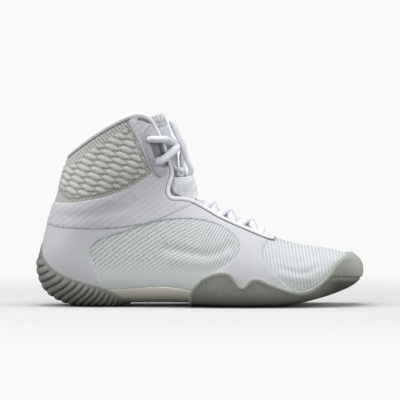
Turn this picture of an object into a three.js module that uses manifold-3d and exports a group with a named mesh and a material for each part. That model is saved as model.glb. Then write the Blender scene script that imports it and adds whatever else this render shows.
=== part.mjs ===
// Wrestling shoe for the right foot, high-cut, empty and laced, standing on its sole.
// Millimetres. X runs from the heel to the toe, Y from the outer to the inner side of the foot, Z up from the floor.
import * as THREE from "three";
import { mergeVertices } from "three/addons/utils/BufferGeometryUtils.js";
import Module from "manifold-3d";

const wasm = await Module();
wasm.setup();

// Overall sizes
const shoeLength = 295;
const shoeHeight = 174.4;
const ballWidth = 94;
const heelWidth = 66;
const collarWidth = 68;

// Walls and layers
const upperWall = 2.4;
const collarPad = 4.4;
const midsoleProud = 0.5;
const insoleThickness = 3;
const heelRubber = 3.4;
const heelRubberEdge = 1.2;
const heelEdgeTaper = 9;
const heelRibHeight = 1.5;
const heelRibFade = 6;
const heelRibCount = 18;
const heelRibPitchFront = 4.6;
const heelRibPitchBack = 8.2;
const forefootRubber = 2.7;
const forefootRim = 3.6;
const forefootRimWidth = 3.2;
const toeSplitHeight = 27.5;
const toeSplitWidth = 1.3;
const toeSplitDepth = 0.9;
const treadGrooveWidth = 2.4;
const treadGrooveDepth = 1.2;
const treadGroovePitch = 11;
const treadGrooveCount = 6;
const treadGrooveStart = 0.62;
const tongueThickness = 4;
const tonguePadThickness = 8.5;
const tongueHalfWidth = 25;
const tongueBulge = 6;
const padDrop = 1.9;
const tongueNarrowing = 0.15; // share by which the tongue is narrower at its lower end
const tongueThinning = 0.55; // share by which it is thinner at its side edges
const bindingDiameter = 3.6;
const eyestayHeight = 1.5;
const eyestayRim = 2.8;
const eyeletHole = 6.4;
const laceDiameter = 4.6;
const throatLaceDiameter = 3.4;
const throatLaceTuck = 1.5;
const ankleBulge = 5;
const ankleLift = 1.4;
const ankleSag = 0.8; // how many stations a strand hangs lower than a straight run over the form
const ankleBend = 0.2; // how far along a strand it leaves the upper and runs straight to the other side
const keeperThickness = 1.2;
const keeperBulge = 7.4;
const keeperHem = 0.2; // share of the bulge at the pocket's closed lower end
const keeperMouth = 0.62; // where along its swell the pocket ends: 0.5 is at its highest, 1 is closed again
const keeperRoundness = 1.2;
const knotSize = { x: 6, y: 9, z: 7 };
const knotAside = 4.6; // how far the knot lies to the outer side of the tongue's middle

// Fits
const gap = 0.3;
const bindingClearance = 0.75;
const tongueClearance = 1.5;
const throatLaceClearance = 0.45;
const ankleLaceClearance = 0.9;
const keeperClearance = 1.2;
const knotClearance = 0.6;
const flatDepth = 0.6; // how much of the sole's rounded underside the floor plane takes off
const cutterReach = 14; // how far a cutter stands out of the form to each side
const far = 400; // reaches past the whole shoe

// How finely the surfaces are divided
const turns = 22;
const tubeSides = 6;
const facetTolerance = 0.03;
const stationStep = 0.04;
const turnStep = 0.004;

// The form stands on the rubber, less what the floor plane takes off.
const footLift = forefootRubber - flatDepth + gap;
const formHeight = shoeHeight - footLift;

// Sections of the form, from the toe tip round the heel bend to the collar. Each lies in the plane through its
// low point, on the sole or heel line, and its high point, on the instep line. X is a share of the length, Z of
// the form's height. outer, inner, keel and ridge are shares of half the width that the row follows: how far the
// section reaches to each side, and how far its low and high points lie to the inner side. waist is the share of
// the way from low to high at which it is widest, and round is the power of its curve below and above that.
const sectionColumns = [
  "name", "lowX", "lowZ", "highX", "highZ", "width",
  "outer", "inner", "keel", "ridge", "waist", "roundLow", "roundHigh",
];
const sections = [
  ["toe tip", 0.989, 0.17, 0.989, 0.17, ballWidth, -0.19, 0.19, 0.19, 0.19, 0.5, 2.1, 2.1],
  ["toe front", 0.985, 0.138, 0.986, 0.204, ballWidth, 0.085, 0.447, 0.18, 0.19, 0.5, 2.2, 2.2],
  ["toe cap", 0.966, 0.109, 0.972, 0.233, ballWidth, 0.32, 0.617, 0.15, 0.19, 0.45, 2.4, 2.2],
  ["toe top", 0.936, 0.085, 0.942, 0.263, ballWidth, 0.553, 0.745, 0.1, 0.18, 0.38, 2.7, 2.2],
  ["toes", 0.884, 0.054, 0.887, 0.288, ballWidth, 0.766, 0.84, 0.04, 0.16, 0.33, 3, 2.1],
  ["toe bend", 0.807, 0.021, 0.807, 0.307, ballWidth, 0.926, 0.926, 0, 0.14, 0.3, 3.3, 2],
  ["inner ball", 0.733, 0.005, 0.73, 0.347, ballWidth, 1, 0.99, 0, 0.12, 0.28, 3.5, 1.95],
  ["outer ball", 0.654, 0.001, 0.66, 0.414, ballWidth, 1.03, 0.98, 0, 0.1, 0.26, 3.5, 1.85],
  ["mid foot", 0.568, 0.001, 0.599, 0.46, ballWidth, 1.01, 0.894, 0, 0.07, 0.25, 3.4, 1.8],
  ["arch", 0.485, 0.006, 0.54, 0.51, ballWidth, 0.947, 0.787, 0, 0.05, 0.26, 3.2, 1.75],
  ["instep", 0.393, 0.009, 0.494, 0.557, ballWidth, 0.872, 0.734, 0, 0.03, 0.27, 3, 1.75],
  ["long heel", 0.286, 0.006, 0.467, 0.607, ballWidth, 0.809, 0.723, 0, 0.02, 0.27, 2.9, 1.75],
  ["heel seat", 0.179, 0.006, 0.453, 0.655, heelWidth, 1.09, 1.03, 0, 0, 0.27, 2.8, 1.8],
  ["short heel", 0.096, 0.022, 0.445, 0.692, heelWidth, 1.045, 1.015, 0, 0, 0.28, 2.6, 1.85],
  ["heel bend", 0.036, 0.083, 0.441, 0.723, heelWidth, 1.015, 1, 0, 0, 0.3, 2.4, 1.9],
  ["heel back", 0.013, 0.196, 0.436, 0.755, heelWidth, 1, 1, 0, 0, 0.34, 2.3, 1.95],
  ["heel top", 0.021, 0.323, 0.429, 0.803, heelWidth, 1.015, 1.03, 0, 0, 0.42, 2.1, 2],
  ["ankle", 0.038, 0.439, 0.421, 0.853, collarWidth, 1.03, 1.06, 0, 0, 0.5, 2, 2.1],
  ["above ankle", 0.065, 0.579, 0.412, 0.908, collarWidth, 1.03, 1.045, 0, 0, 0.5, 2, 2.2],
  ["shaft", 0.091, 0.738, 0.401, 0.966, collarWidth, 1, 1, 0, 0, 0.5, 2, 2.3],
  ["above collar", 0.12, 0.909, 0.383, 1.077, collarWidth, 0.985, 0.985, 0, 0, 0.5, 2, 2.3],
].map((row) => Object.fromEntries(row.map((value, i) => [sectionColumns[i], value])));
const stationOf = Object.fromEntries(sections.map((row, i) => [row.name, i]));
const lastStation = sections.length - 1;

// Outlines seen from the side: shares of the length and of the form's height
const openingLine = [
  [0.085, 0.768], [0.101, 0.774], [0.11, 0.789], [0.133, 0.818], [0.176, 0.871], [0.231, 0.928],
  [0.28, 0.968], [0.31, 0.982], [0.335, 0.974], [0.353, 0.95], [0.369, 0.9], [0.382, 0.85],
  [0.393, 0.792], [0.404, 0.734], [0.411, 0.681], [0.404, 0.639], [0.399, 0.601], [0.402, 0.565],
  [0.416, 0.546], [0.448, 0.543], [0.482, 0.528], [0.522, 0.49], [0.562, 0.451], [0.635, 0.395],
  [0.703, 0.346], [0.727, 0.338],
];
const featherLine = [
  [-0.036, 0.096], [0.071, 0.091], [0.163, 0.085], [0.231, 0.08], [0.28, 0.085], [0.344, 0.093], [0.387, 0.097],
  [0.43, 0.09], [0.47, 0.078], [0.546, 0.059], [0.654, 0.048], [0.761, 0.054], [0.838, 0.075], [0.914, 0.114],
  [0.96, 0.146], [1.037, 0.201],
];
const heelRubberLine = [
  [0.022, 0.352], [0.02, 0.302], [0.024, 0.254], [0.041, 0.209], [0.062, 0.18], [0.094, 0.149], [0.13, 0.128],
  [0.164, 0.112], [0.195, 0.096], [0.215, 0.084], [0.246, 0.054], [0.288, 0.006],
];
const forefootRubberLine = [
  [0.469, 0.012], [0.47, 0.07], [0.497, 0.128], [0.522, 0.154], [0.545, 0.168], [0.565, 0.172], [0.584, 0.169],
  [0.597, 0.157], [0.607, 0.137], [0.617, 0.112], [0.626, 0.1], [0.637, 0.107], [0.648, 0.128], [0.66, 0.14],
  [0.681, 0.137], [0.706, 0.118], [0.732, 0.099], [0.755, 0.077], [0.779, 0.062], [0.811, 0.059], [0.85, 0.085],
  [0.885, 0.133], [0.908, 0.18], [0.94, 0.228], [0.954, 0.244], [0.969, 0.252], [0.991, 0.275],
];
const eyestayLine = [
  [0.344, 0.948], [0.364, 0.924], [0.378, 0.855], [0.396, 0.76], [0.402, 0.708], [0.393, 0.671], [0.375, 0.66],
  [0.356, 0.681], [0.341, 0.75], [0.324, 0.84], [0.32, 0.903],
];
const eyelets = [
  { name: "top", x: 0.344, z: 0.861 },
  { name: "second", x: 0.368, z: 0.746 },
];

// Where pieces begin and end along the form's stations
const vampSteps = [0.01, 0.06, 0.16, 0.35];
const vampLength = 0.65;
const throatTop = stationOf.shaft + 0.3;
const bindingRun = { first: 0.06, last: -0.15 }; // past the throat's start, and past its top
const tongueStart = 5.2;
const tongueEnd = stationOf.shaft + 0.32;
const swellStart = 0.1; // past the throat's start
const swellLength = 0.7;
const padStart = stationOf["heel back"];
const padLength = 3;
const laceRows = [6.6, 7.75, 8.75, 9.5];
const keeperStart = 10.1;
const keeperEnd = 11.6; // at the middle of the pocket's mouth
const keeperRise = 1.4; // how much further up the mouth's corners lie
const knotStation = 13.2;
const bindingStation = 13.3; // the two bindings meet here, at the ankle's bend

// Where the collar's binding turns down the throat, as a turn round the section
const collarTurn = 0.348;

// Where the toe bumper begins, as a share of the length
const bumperStart = 0.87;

// How an ankle strand rises out of its eyelet: shares of its bend, and of its height over the upper
const laceRise = [
  { bend: 0, height: -0.255 },
  { bend: 0, height: 0.065 },
  { bend: 0.125, height: 0.75 },
  { bend: 0.4, height: 1 },
];

// Routes of the free cords: x and z as shares, y in millimetres to the inner side
const loopRoute = [
  { x: 0.4615, y: -2.8, z: 0.655 },
  { x: 0.4705, y: -3.6, z: 0.676 },
  { x: 0.473, y: -4, z: 0.702 },
  { x: 0.467, y: -4.2, z: 0.728 },
  { x: 0.459, y: -4, z: 0.757 },
  { x: 0.4535, y: -3.6, z: 0.8 },
  { x: 0.446, y: -2.6, z: 0.841 },
  { x: 0.431, y: -1.6, z: 0.891 },
  { x: 0.42, y: -0.4, z: 0.935 },
  { x: 0.414, y: 2.4, z: 0.955 },
  { x: 0.416, y: 5.4, z: 0.935 },
  { x: 0.429, y: 8, z: 0.885 },
  { x: 0.4425, y: 9.4, z: 0.845 },
  { x: 0.447, y: 9.6, z: 0.8 },
  { x: 0.444, y: 9, z: 0.765 },
  { x: 0.4455, y: 7.6, z: 0.729 },
  { x: 0.45, y: 5.8, z: 0.696 },
  { x: 0.456, y: 4, z: 0.662 },
];

function shareX(share) {
  return share * shoeLength;
}

function shareZ(share) {
  return footLift + share * formHeight;
}

function sidePoint([x, z]) {
  return new THREE.Vector2(shareX(x), shareZ(z));
}

// Smooth passage of a table's column between its rows
function columnAt(column, station) {
  const row = Math.min(Math.floor(station), lastStation - 1);
  const t = station - row;
  const value = (i) => column(sections[Math.min(Math.max(i, 0), lastStation)]);
  const [a, b, c, d] = [value(row - 1), value(row), value(row + 1), value(row + 2)];
  return b + 0.5 * t * (c - a + t * (2 * a - 5 * b + 4 * c - d + t * (3 * (b - c) + d - a)));
}

function sectionAt(station) {
  const half = (key) => columnAt((row) => (row[key] * row.width) / 2, station);
  const plain = (key) => columnAt((row) => row[key], station);
  return {
    low: new THREE.Vector2(shareX(plain("lowX")), shareZ(plain("lowZ"))),
    high: new THREE.Vector2(shareX(plain("highX")), shareZ(plain("highZ"))),
    outer: -half("outer"),
    inner: half("inner"),
    keel: half("keel"),
    ridge: half("ridge"),
    waist: plain("waist"),
    roundLow: plain("roundLow"),
    roundHigh: plain("roundHigh"),
  };
}

// A point of the form. turn goes once round a section: 0 low point, 0.25 outer side, 0.5 high point, 0.75 inner side.
function formPoint(station, turn) {
  const s = sectionAt(station);
  const angle = turn * 2 * Math.PI;
  const lengthwise = Math.cos(angle);
  const sideways = Math.abs(Math.sin(angle));
  const side = Math.sin(angle) >= 0 ? s.outer : s.inner;
  const isLow = lengthwise >= 0;
  const power = 2 / (isLow ? s.roundLow : s.roundHigh);
  const reach = Math.abs(lengthwise) ** power;
  const along = isLow ? s.waist * (1 - reach) : s.waist + (1 - s.waist) * reach;
  const middle = isLow ? s.keel : s.ridge;
  const line = s.low.clone().lerp(s.high, along);
  return new THREE.Vector3(line.x, middle + (side - middle) * sideways ** power, line.y);
}

// The outward direction of the form's surface
function formNormal(station, turn) {
  if (station < stationStep) return new THREE.Vector3(1, 0, 0);
  const ahead = formPoint(Math.min(station + stationStep, lastStation), turn);
  const along = ahead.sub(formPoint(station - stationStep, turn));
  const round = formPoint(station, turn + turnStep).sub(formPoint(station, turn - turnStep));
  return round.cross(along).normalize();
}

function skinPoint(station, turn, offset) {
  return formPoint(station, turn).addScaledVector(formNormal(station, turn), offset);
}

// The station and turn at which the form lies at x and z, on its outer or inner side
function placeOf(x, z, isOuter) {
  const to = new THREE.Vector2(x, z);
  const station = crossing(0, lastStation, (value) => {
    const s = sectionAt(value);
    return s.high.clone().sub(s.low).cross(to.clone().sub(s.low)) < 0;
  });
  const s = sectionAt(station);
  const line = s.high.clone().sub(s.low);
  const along = Math.min(Math.max(to.sub(s.low).dot(line) / line.lengthSq(), 0), 1);
  const isLow = along < s.waist;
  const reach = isLow ? 1 - along / s.waist : (along - s.waist) / (1 - s.waist);
  const angle = Math.acos(reach ** ((isLow ? s.roundLow : s.roundHigh) / 2)) / (2 * Math.PI);
  const turn = isLow ? angle : 0.5 - angle;
  return { station, turn: isOuter ? turn : 1 - turn };
}

// The turn that lies a distance across from a section's high point: outer side negative, inner side positive
function turnAcross(station, distance) {
  const s = sectionAt(station);
  const reach = Math.min(Math.abs(distance / ((distance < 0 ? s.outer : s.inner) - s.ridge)), 1);
  const angle = Math.asin(reach ** (s.roundHigh / 2)) / (2 * Math.PI);
  return distance < 0 ? 0.5 - angle : 0.5 + angle;
}

function smoothStep(share) {
  const t = Math.min(Math.max(share, 0), 1);
  return t * t * (3 - 2 * t);
}

function evenly(from, to, count) {
  return Array.from({ length: count + 1 }, (_, i) => from + ((to - from) * i) / count);
}

// A closed mesh from its vertices and triangles as a solid
function solidOf(geometry) {
  const plain = geometry.clone();
  plain.deleteAttribute("normal");
  plain.deleteAttribute("uv");
  const merged = mergeVertices(plain, 1e-4);
  return new wasm.Manifold(
    new wasm.Mesh({
      numProp: 3,
      vertProperties: new Float32Array(merged.attributes.position.array),
      triVerts: new Uint32Array(merged.index.array),
    }),
  );
}

function indexedGeometry(points, triangles) {
  const geometry = new THREE.BufferGeometry().setFromPoints(points);
  geometry.setIndex(triangles);
  return geometry;
}

// The form, or a stretch of it, as a solid whose surface lies `offset` outside the form. Its ends are flat, or the
// toe's tip.
function formSolid(stations, turnCount, offset) {
  const points = [];
  const triangles = [];
  const offsetAt = typeof offset === "function" ? offset : () => offset;
  const hasTip = stations[0] === 0;
  const rings = hasTip ? stations.slice(1) : stations;
  rings.forEach((station) => {
    for (let j = 0; j < turnCount; j++) {
      const turn = j / turnCount;
      points.push(skinPoint(station, turn, offsetAt(station, turn)));
    }
  });
  const vertex = (ring, j) => ring * turnCount + (j % turnCount);
  for (let i = 0; i < rings.length - 1; i++) {
    for (let j = 0; j < turnCount; j++) {
      const [a, b, c, d] = [vertex(i, j), vertex(i, j + 1), vertex(i + 1, j), vertex(i + 1, j + 1)];
      triangles.push(a, b, c, b, d, c);
    }
  }
  const ringCentre = (ring) => {
    const centre = new THREE.Vector3();
    for (let j = 0; j < turnCount; j++) centre.addScaledVector(points[vertex(ring, j)], 1 / turnCount);
    return centre;
  };
  const startPoint = hasTip ? skinPoint(0, 0, offsetAt(0, 0)) : ringCentre(0);
  const endRing = rings.length - 1;
  const endPoint = ringCentre(endRing);
  const start = points.push(startPoint) - 1;
  const end = points.push(endPoint) - 1;
  for (let j = 0; j < turnCount; j++) {
    triangles.push(start, vertex(0, j + 1), vertex(0, j));
    triangles.push(end, vertex(endRing, j), vertex(endRing, j + 1));
  }
  return solidOf(indexedGeometry(points, triangles));
}

// A strip that follows the form's high line: halfWidth gives its reach to each side at a station, and top and
// bottom its offsets at a station and a distance across from that line, outer side negative. stationAt moves a
// station along where the strip's ends are curved.
function stripSolid(stations, acrossCount, halfWidth, top, bottom, stationAt = (station) => station) {
  const points = [];
  const triangles = [];
  const across = evenly(-1, 1, acrossCount);
  const rowLength = across.length;
  const layerSize = stations.length * rowLength;
  [top, bottom].forEach((offset) => {
    stations.forEach((station) => {
      across.forEach((share) => {
        const here = stationAt(station, share);
        const distance = share * halfWidth(here, share < 0);
        points.push(skinPoint(here, turnAcross(here, distance), offset(here, distance)));
      });
    });
  });
  const vertex = (layer, i, j) => layer * layerSize + i * rowLength + j;
  const quad = (a, b, c, d) => triangles.push(a, b, c, a, c, d);
  const lastRow = stations.length - 1;
  for (let i = 0; i < lastRow; i++) {
    for (let j = 0; j < acrossCount; j++) {
      quad(vertex(0, i, j), vertex(0, i, j + 1), vertex(0, i + 1, j + 1), vertex(0, i + 1, j));
      quad(vertex(1, i, j), vertex(1, i + 1, j), vertex(1, i + 1, j + 1), vertex(1, i, j + 1));
    }
    quad(vertex(0, i, 0), vertex(0, i + 1, 0), vertex(1, i + 1, 0), vertex(1, i, 0));
    const j = acrossCount;
    quad(vertex(0, i, j), vertex(1, i, j), vertex(1, i + 1, j), vertex(0, i + 1, j));
  }
  for (let j = 0; j < acrossCount; j++) {
    quad(vertex(0, 0, j), vertex(1, 0, j), vertex(1, 0, j + 1), vertex(0, 0, j + 1));
    quad(vertex(0, lastRow, j), vertex(0, lastRow, j + 1), vertex(1, lastRow, j + 1), vertex(1, lastRow, j));
  }
  return solidOf(indexedGeometry(points, triangles));
}

// A flat outline seen from the side, as a prism across the shoe
function sidePrism(outline, fromY = -far, toY = far) {
  const geometry = new THREE.ExtrudeGeometry(new THREE.Shape(outline), { depth: toY - fromY, bevelEnabled: false });
  geometry.rotateX(Math.PI / 2);
  geometry.translate(0, toY, 0);
  return solidOf(geometry);
}

function smoothLine(table, steps) {
  return new THREE.SplineCurve(table.map(sidePoint)).getPoints(steps);
}

function smoothLoop(table, steps) {
  const points = table.map(sidePoint).map((p) => new THREE.Vector3(p.x, p.y, 0));
  const loop = new THREE.CatmullRomCurve3(points, true);
  return loop.getPoints(steps).slice(0, steps).map((p) => new THREE.Vector2(p.x, p.y));
}

// The loop moved in by a width along its own normals
function insetLoop(loop, width) {
  return loop.map((point, i) => {
    const before = loop[(i + loop.length - 1) % loop.length];
    const after = loop[(i + 1) % loop.length];
    const tangent = after.clone().sub(before).normalize();
    return new THREE.Vector2(point.x + tangent.y * width, point.y - tangent.x * width);
  });
}

function distanceTo(line, x, z) {
  const point = new THREE.Vector3(x, z, 0);
  const nearest = new THREE.Vector3();
  let least = far;
  for (let i = 0; i < line.length - 1; i++) {
    const from = new THREE.Vector3(line[i].x, line[i].y, 0);
    const piece = new THREE.Line3(from, new THREE.Vector3(line[i + 1].x, line[i + 1].y, 0));
    piece.closestPointToPoint(point, true, nearest);
    least = Math.min(least, nearest.distanceTo(point));
  }
  return least;
}

function isInside(outline, x, z) {
  let inside = false;
  outline.forEach((a, i) => {
    const b = outline[(i + 1) % outline.length];
    if (a.y > z !== b.y > z && x < a.x + ((z - a.y) / (b.y - a.y)) * (b.x - a.x)) inside = !inside;
  });
  return inside;
}

// Where a test on a value between two limits changes from false to true
function crossing(from, to, test) {
  let [low, high] = [from, to];
  for (let i = 0; i < 30; i++) {
    const middle = (low + high) / 2;
    if (test(middle)) high = middle;
    else low = middle;
  }
  return high;
}

// The cut of the collar and throat, seen from the side
const openingCut = smoothLine(openingLine, 90);
const openingOutline = [
  ...openingCut,
  new THREE.Vector2(openingCut.at(-1).x, far),
  new THREE.Vector2(-far, far),
  new THREE.Vector2(-far, openingCut[0].y),
];

function isOpen(station, turn) {
  const p = formPoint(station, turn);
  return isInside(openingOutline, p.x, p.z);
}

// How far the throat's edge lies across from the form's high line, on the outer or inner side
function throatReach(station, isOuter) {
  const side = isOuter ? -1 : 1;
  const isShut = (distance) => !isOpen(station, turnAcross(station, side * distance));
  return crossing(0, collarWidth / 2, isShut);
}

// The throat's stations, closer together near the vamp point, up to the ankle's front, above which the collar's
// cut takes over
const throatStart = crossing(stationOf["inner ball"], stationOf["mid foot"], (station) => isOpen(station, 0.5));
const throatStations = [
  ...vampSteps.map((step) => throatStart + step),
  ...evenly(throatStart + vampLength, throatTop, 34),
];

function wallAt(station) {
  return upperWall + (collarPad - upperWall) * smoothStep((station - stationOf.ankle) / 2);
}

const allStations = [0, 0.5, 1, 1.5, ...evenly(2, 12, 10), ...evenly(12.5, 16, 7), ...evenly(17, lastStation, 3)];
const skin = formSolid(allStations, turns, 0);
const hollow = formSolid(allStations, turns, (station) => -wallAt(station));

// Everything above the line where the upper is lasted to the sole, and everything below it
const feather = smoothLine(featherLine, 40);

function aboveFeather(rise) {
  const line = feather.map((p) => new THREE.Vector2(p.x, p.y + rise));
  return sidePrism([...line, new THREE.Vector2(far, 2 * far), new THREE.Vector2(-far, 2 * far)]);
}

// Upper: one hollow wall, open at the collar and throat, and underneath where the midsole closes it
function makeUpper() {
  const throat = stripSolid(throatStations, 2, throatReach, () => cutterReach, () => -cutterReach);
  let upper = skin.subtract(hollow).intersect(aboveFeather(gap / 2)).subtract(collarCutter()).subtract(throat);
  eyelets.forEach((eyelet) => {
    [true, false].forEach((isOuter) => {
      const place = placeOf(shareX(eyelet.x), shareZ(eyelet.z), isOuter);
      const axis = formNormal(place.station, place.turn);
      const hole = new THREE.CylinderGeometry(eyeletHole / 2, eyeletHole / 2, 4 * collarPad, 10);
      hole.applyQuaternion(new THREE.Quaternion().setFromUnitVectors(new THREE.Vector3(0, 1, 0), axis));
      const centre = formPoint(place.station, place.turn);
      hole.translate(centre.x, centre.y, centre.z);
      upper = upper.subtract(solidOf(hole));
    });
  });
  return mainBody(upper);
}

// All that stands over the collar's edge: a wide ring that meets the wall squarely
function collarCutter() {
  const steps = evenly(0, 1, 48).slice(0, -1);
  const up = new THREE.Vector3(0, 0, 2 * cutterReach);
  const columns = steps.map((turn) => {
    const edge = collarStation(turn);
    return [
      skinPoint(edge, turn, cutterReach),
      skinPoint(edge, turn, -cutterReach),
      skinPoint(lastStation, turn, -cutterReach).add(up),
      skinPoint(lastStation, turn, cutterReach).add(up),
    ];
  });
  const triangles = [];
  columns.forEach((_, i) => {
    for (let j = 0; j < 4; j++) {
      const [a, b] = [4 * i + j, 4 * i + ((j + 1) % 4)];
      const shift = 4 * (((i + 1) % steps.length) - i);
      triangles.push(a, b, b + shift, a, b + shift, a + shift);
    }
  });
  return solidOf(indexedGeometry(columns.flat(), triangles));
}

// The station at which the collar's edge lies at a turn
function collarStation(turn) {
  return crossing(stationOf["heel top"], lastStation, (station) => isOpen(station, turn));
}

// Midsole: one foam bed from heel to toe, bare at the arch only
const bedStations = allStations.filter((station) => station <= stationOf["heel top"]);

function makeMidsole() {
  return formSolid(bedStations, turns, bedOffset).subtract(aboveFeather(-gap / 2));
}

function bedOffset(station) {
  const behindForefoot = smoothStep((station - stationOf["mid foot"]) / 2);
  const beforeHeel = smoothStep((stationOf["heel seat"] - station) / 2);
  return midsoleProud * behindForefoot * beforeHeel;
}

// Insole: a board inside the wall, on the midsole
function makeInsole() {
  const inside = formSolid(bedStations, turns, -upperWall - gap);
  return inside.intersect(aboveFeather(gap)).subtract(aboveFeather(gap + insoleThickness));
}

// Stations whose low points lie the given distances along the sole line from a first one
function stationsAlongSole(fromStation, toStation, distances) {
  const steps = 200;
  const path = evenly(fromStation, toStation, steps);
  const lengths = [0];
  for (let i = 1; i <= steps; i++) {
    lengths.push(lengths[i - 1] + sectionAt(path[i]).low.distanceTo(sectionAt(path[i - 1]).low));
  }
  return distances.map((distance) => {
    const i = Math.max(1, lengths.findIndex((length) => length >= distance));
    const share = (distance - lengths[i - 1]) / (lengths[i] - lengths[i - 1]);
    return path[i - 1] + (path[i] - path[i - 1]) * share;
  });
}

// The largest closed body of a solid, without slivers that a cut leaves inside it
function mainBody(solid) {
  return solid.decompose().reduce((most, body) => (body.volume() > most.volume() ? body : most));
}

// Heel rubber: a cup round the heel, ribbed from its edge to the floor
function makeHeelRubber() {
  const edge = smoothLine(heelRubberLine, 30);
  const outline = [
    ...edge,
    new THREE.Vector2(edge.at(-1).x, -far),
    new THREE.Vector2(-far, -far),
    new THREE.Vector2(-far, edge[0].y),
  ];
  const start = stationOf["long heel"];
  const grooves = [];
  let distance = 0;
  for (let i = 0; i <= heelRibCount; i++) {
    grooves.push(distance);
    distance += heelRibPitchFront + ((heelRibPitchBack - heelRibPitchFront) * i) / heelRibCount;
  }
  const crests = grooves.slice(1).map((at, i) => (at + grooves[i]) / 2);
  const crestStations = stationsAlongSole(start, stationOf.ankle, crests);
  const stations = [stationOf.instep, ...stationsAlongSole(start, stationOf.ankle, grooves), ...crestStations];
  stations.sort((a, b) => a - b);
  const cup = formSolid(stations, turns, (station, turn) => {
    const p = formPoint(station, turn);
    const inward = distanceTo(edge, p.x, p.z);
    const body = heelRubberEdge + (heelRubber - heelRubberEdge) * smoothStep(inward / heelEdgeTaper);
    const rib = crestStations.includes(station) ? heelRibHeight * smoothStep(inward / heelRibFade) : 0;
    return body + rib;
  });
  return cup.subtract(bedCutter()).intersect(sidePrism(outline)).trimByPlane([0, 0, 1], 0);
}

// The form and midsole with the gap that parts the rubber from them
function bedCutter() {
  return formSolid(allStations, turns, (station) => bedOffset(station) + gap);
}

// Forefoot rubber: a cup round the ball and toes with a waved, raised rim, a split line round the toe bumper and
// bending grooves across the tread
function makeForefootRubber() {
  const edge = smoothLine(forefootRubberLine, 44);
  const under = [
    new THREE.Vector2(far, edge.at(-1).y),
    new THREE.Vector2(far, -far),
    new THREE.Vector2(edge[0].x, -far),
  ];
  const stations = allStations.filter((station) => station <= stationOf.instep);
  const cup = formSolid(stations, turns, forefootRubber + gap);
  const rimmed = formSolid(stations, turns, forefootRim + gap);
  const lowered = edge.map((p) => new THREE.Vector2(p.x, p.y - forefootRimWidth));
  const belowRim = sidePrism([...lowered, ...under]).subtract(aboveToeSplit(0));
  let rubber = rimmed.subtract(rimmed.subtract(cup).intersect(belowRim));
  const splitLine = aboveToeSplit(-toeSplitWidth).subtract(aboveToeSplit(0));
  rubber = rubber.subtract(splitLine.subtract(formSolid(stations, turns, forefootRubber + gap - toeSplitDepth)));
  rubber = rubber.intersect(sidePrism([...edge, ...under])).subtract(bedCutter());
  for (let i = 0; i < treadGrooveCount; i++) {
    const cut = new THREE.BoxGeometry(treadGrooveWidth, 2 * ballWidth, 2 * treadGrooveDepth);
    cut.translate(shareX(treadGrooveStart) + i * treadGroovePitch, 0, 0);
    rubber = rubber.subtract(solidOf(cut));
  }
  return mainBody(rubber.trimByPlane([0, 0, 1], 0));
}

// The block of space over the toe bumper's split line
function aboveToeSplit(rise) {
  const z = toeSplitHeight + rise;
  return sidePrism([
    new THREE.Vector2(shareX(bumperStart), z),
    new THREE.Vector2(far, z),
    new THREE.Vector2(far, far),
    new THREE.Vector2(shareX(bumperStart), far),
  ]);
}

// The throat's clear width: from the form's high line to the middle of the binding
function clearReach(station, isOuter) {
  return isOpen(station, 0.5) ? Math.max(throatReach(station, isOuter) - bindingSeat, 0) : 0;
}

const bindingSeat = bindingDiameter / 2 + bindingClearance;
const tongueSeat = -(upperWall + bindingDiameter) / 2 - throatLaceDiameter - tongueClearance;

function padShare(station) {
  return smoothStep((station - padStart) / padLength);
}

// Offset of the tongue's top: under the upper's edges with room for the binding and lace, swelling out between them
function tongueTop(station, distance) {
  const reach = clearReach(station, distance < 0);
  const share = reach > 0 ? Math.min(Math.abs(distance) / reach, 1) : 1;
  const lengthwise = smoothStep((station - throatStart - swellStart) / swellLength);
  const swell = tongueBulge * lengthwise * (1 - share ** 2) ** 2;
  return tongueSeat - padDrop * padShare(station) + swell;
}

// Tongue: a padded flap under the throat, from below the vamp point to above the collar
function makeTongue() {
  const halfWidth = (station) => {
    const rise = smoothStep((station - tongueStart) / (stationOf.instep - tongueStart));
    return tongueHalfWidth * (1 - tongueNarrowing * (1 - rise));
  };
  const thickness = (station, distance) => {
    const full = tongueThickness + (tonguePadThickness - tongueThickness) * padShare(station);
    return full * (1 - tongueThinning * Math.abs(distance / halfWidth(station)) ** 3);
  };
  const bottom = (station, distance) => tongueTop(station, distance) - thickness(station, distance);
  return stripSolid(evenly(tongueStart, tongueEnd, 20), 8, halfWidth, tongueTop, bottom);
}

// A closed tube along a smooth curve
function tube(points, diameter, steps) {
  const outline = Array.from({ length: tubeSides }, (_, i) => {
    const angle = (i / tubeSides) * 2 * Math.PI;
    return new THREE.Vector2(Math.cos(angle), Math.sin(angle)).multiplyScalar(diameter / 2);
  });
  const extrudePath = new THREE.CatmullRomCurve3(points, false, "centripetal");
  return new THREE.ExtrudeGeometry(new THREE.Shape(outline), { steps, extrudePath, bevelEnabled: false });
}

// Places on the opening's edge, from the middle of the collar's back to the vamp point, down one side
function edgePlaces(isOuter) {
  const side = isOuter ? -1 : 1;
  const collar = evenly(0, collarTurn, 17).map((share) => {
    const turn = isOuter ? share : (1 - share) % 1;
    return { station: collarStation(turn), turn };
  });
  const throat = evenly(throatTop + bindingRun.last, throatStart + bindingRun.first, 34).map((station) => {
    return { station, turn: turnAcross(station, side * throatReach(station, isOuter)) };
  });
  return [...collar, ...throat];
}

function middleOfWall(station, turn) {
  return skinPoint(station, turn, -wallAt(station) / 2);
}

// The middle of a binding at places on the opening's edge, in the middle of the wall and off its cut by the seat
function bindingPath(places) {
  const edge = places.map(({ station, turn }) => middleOfWall(station, turn));
  return edge.map((point, i) => {
    const before = edge[Math.max(i - 1, 0)];
    const after = edge[Math.min(i + 1, edge.length - 1)];
    const away = formNormal(places[i].station, places[i].turn).cross(after.clone().sub(before)).normalize();
    return point.clone().addScaledVector(away, bindingSeat);
  });
}

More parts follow.
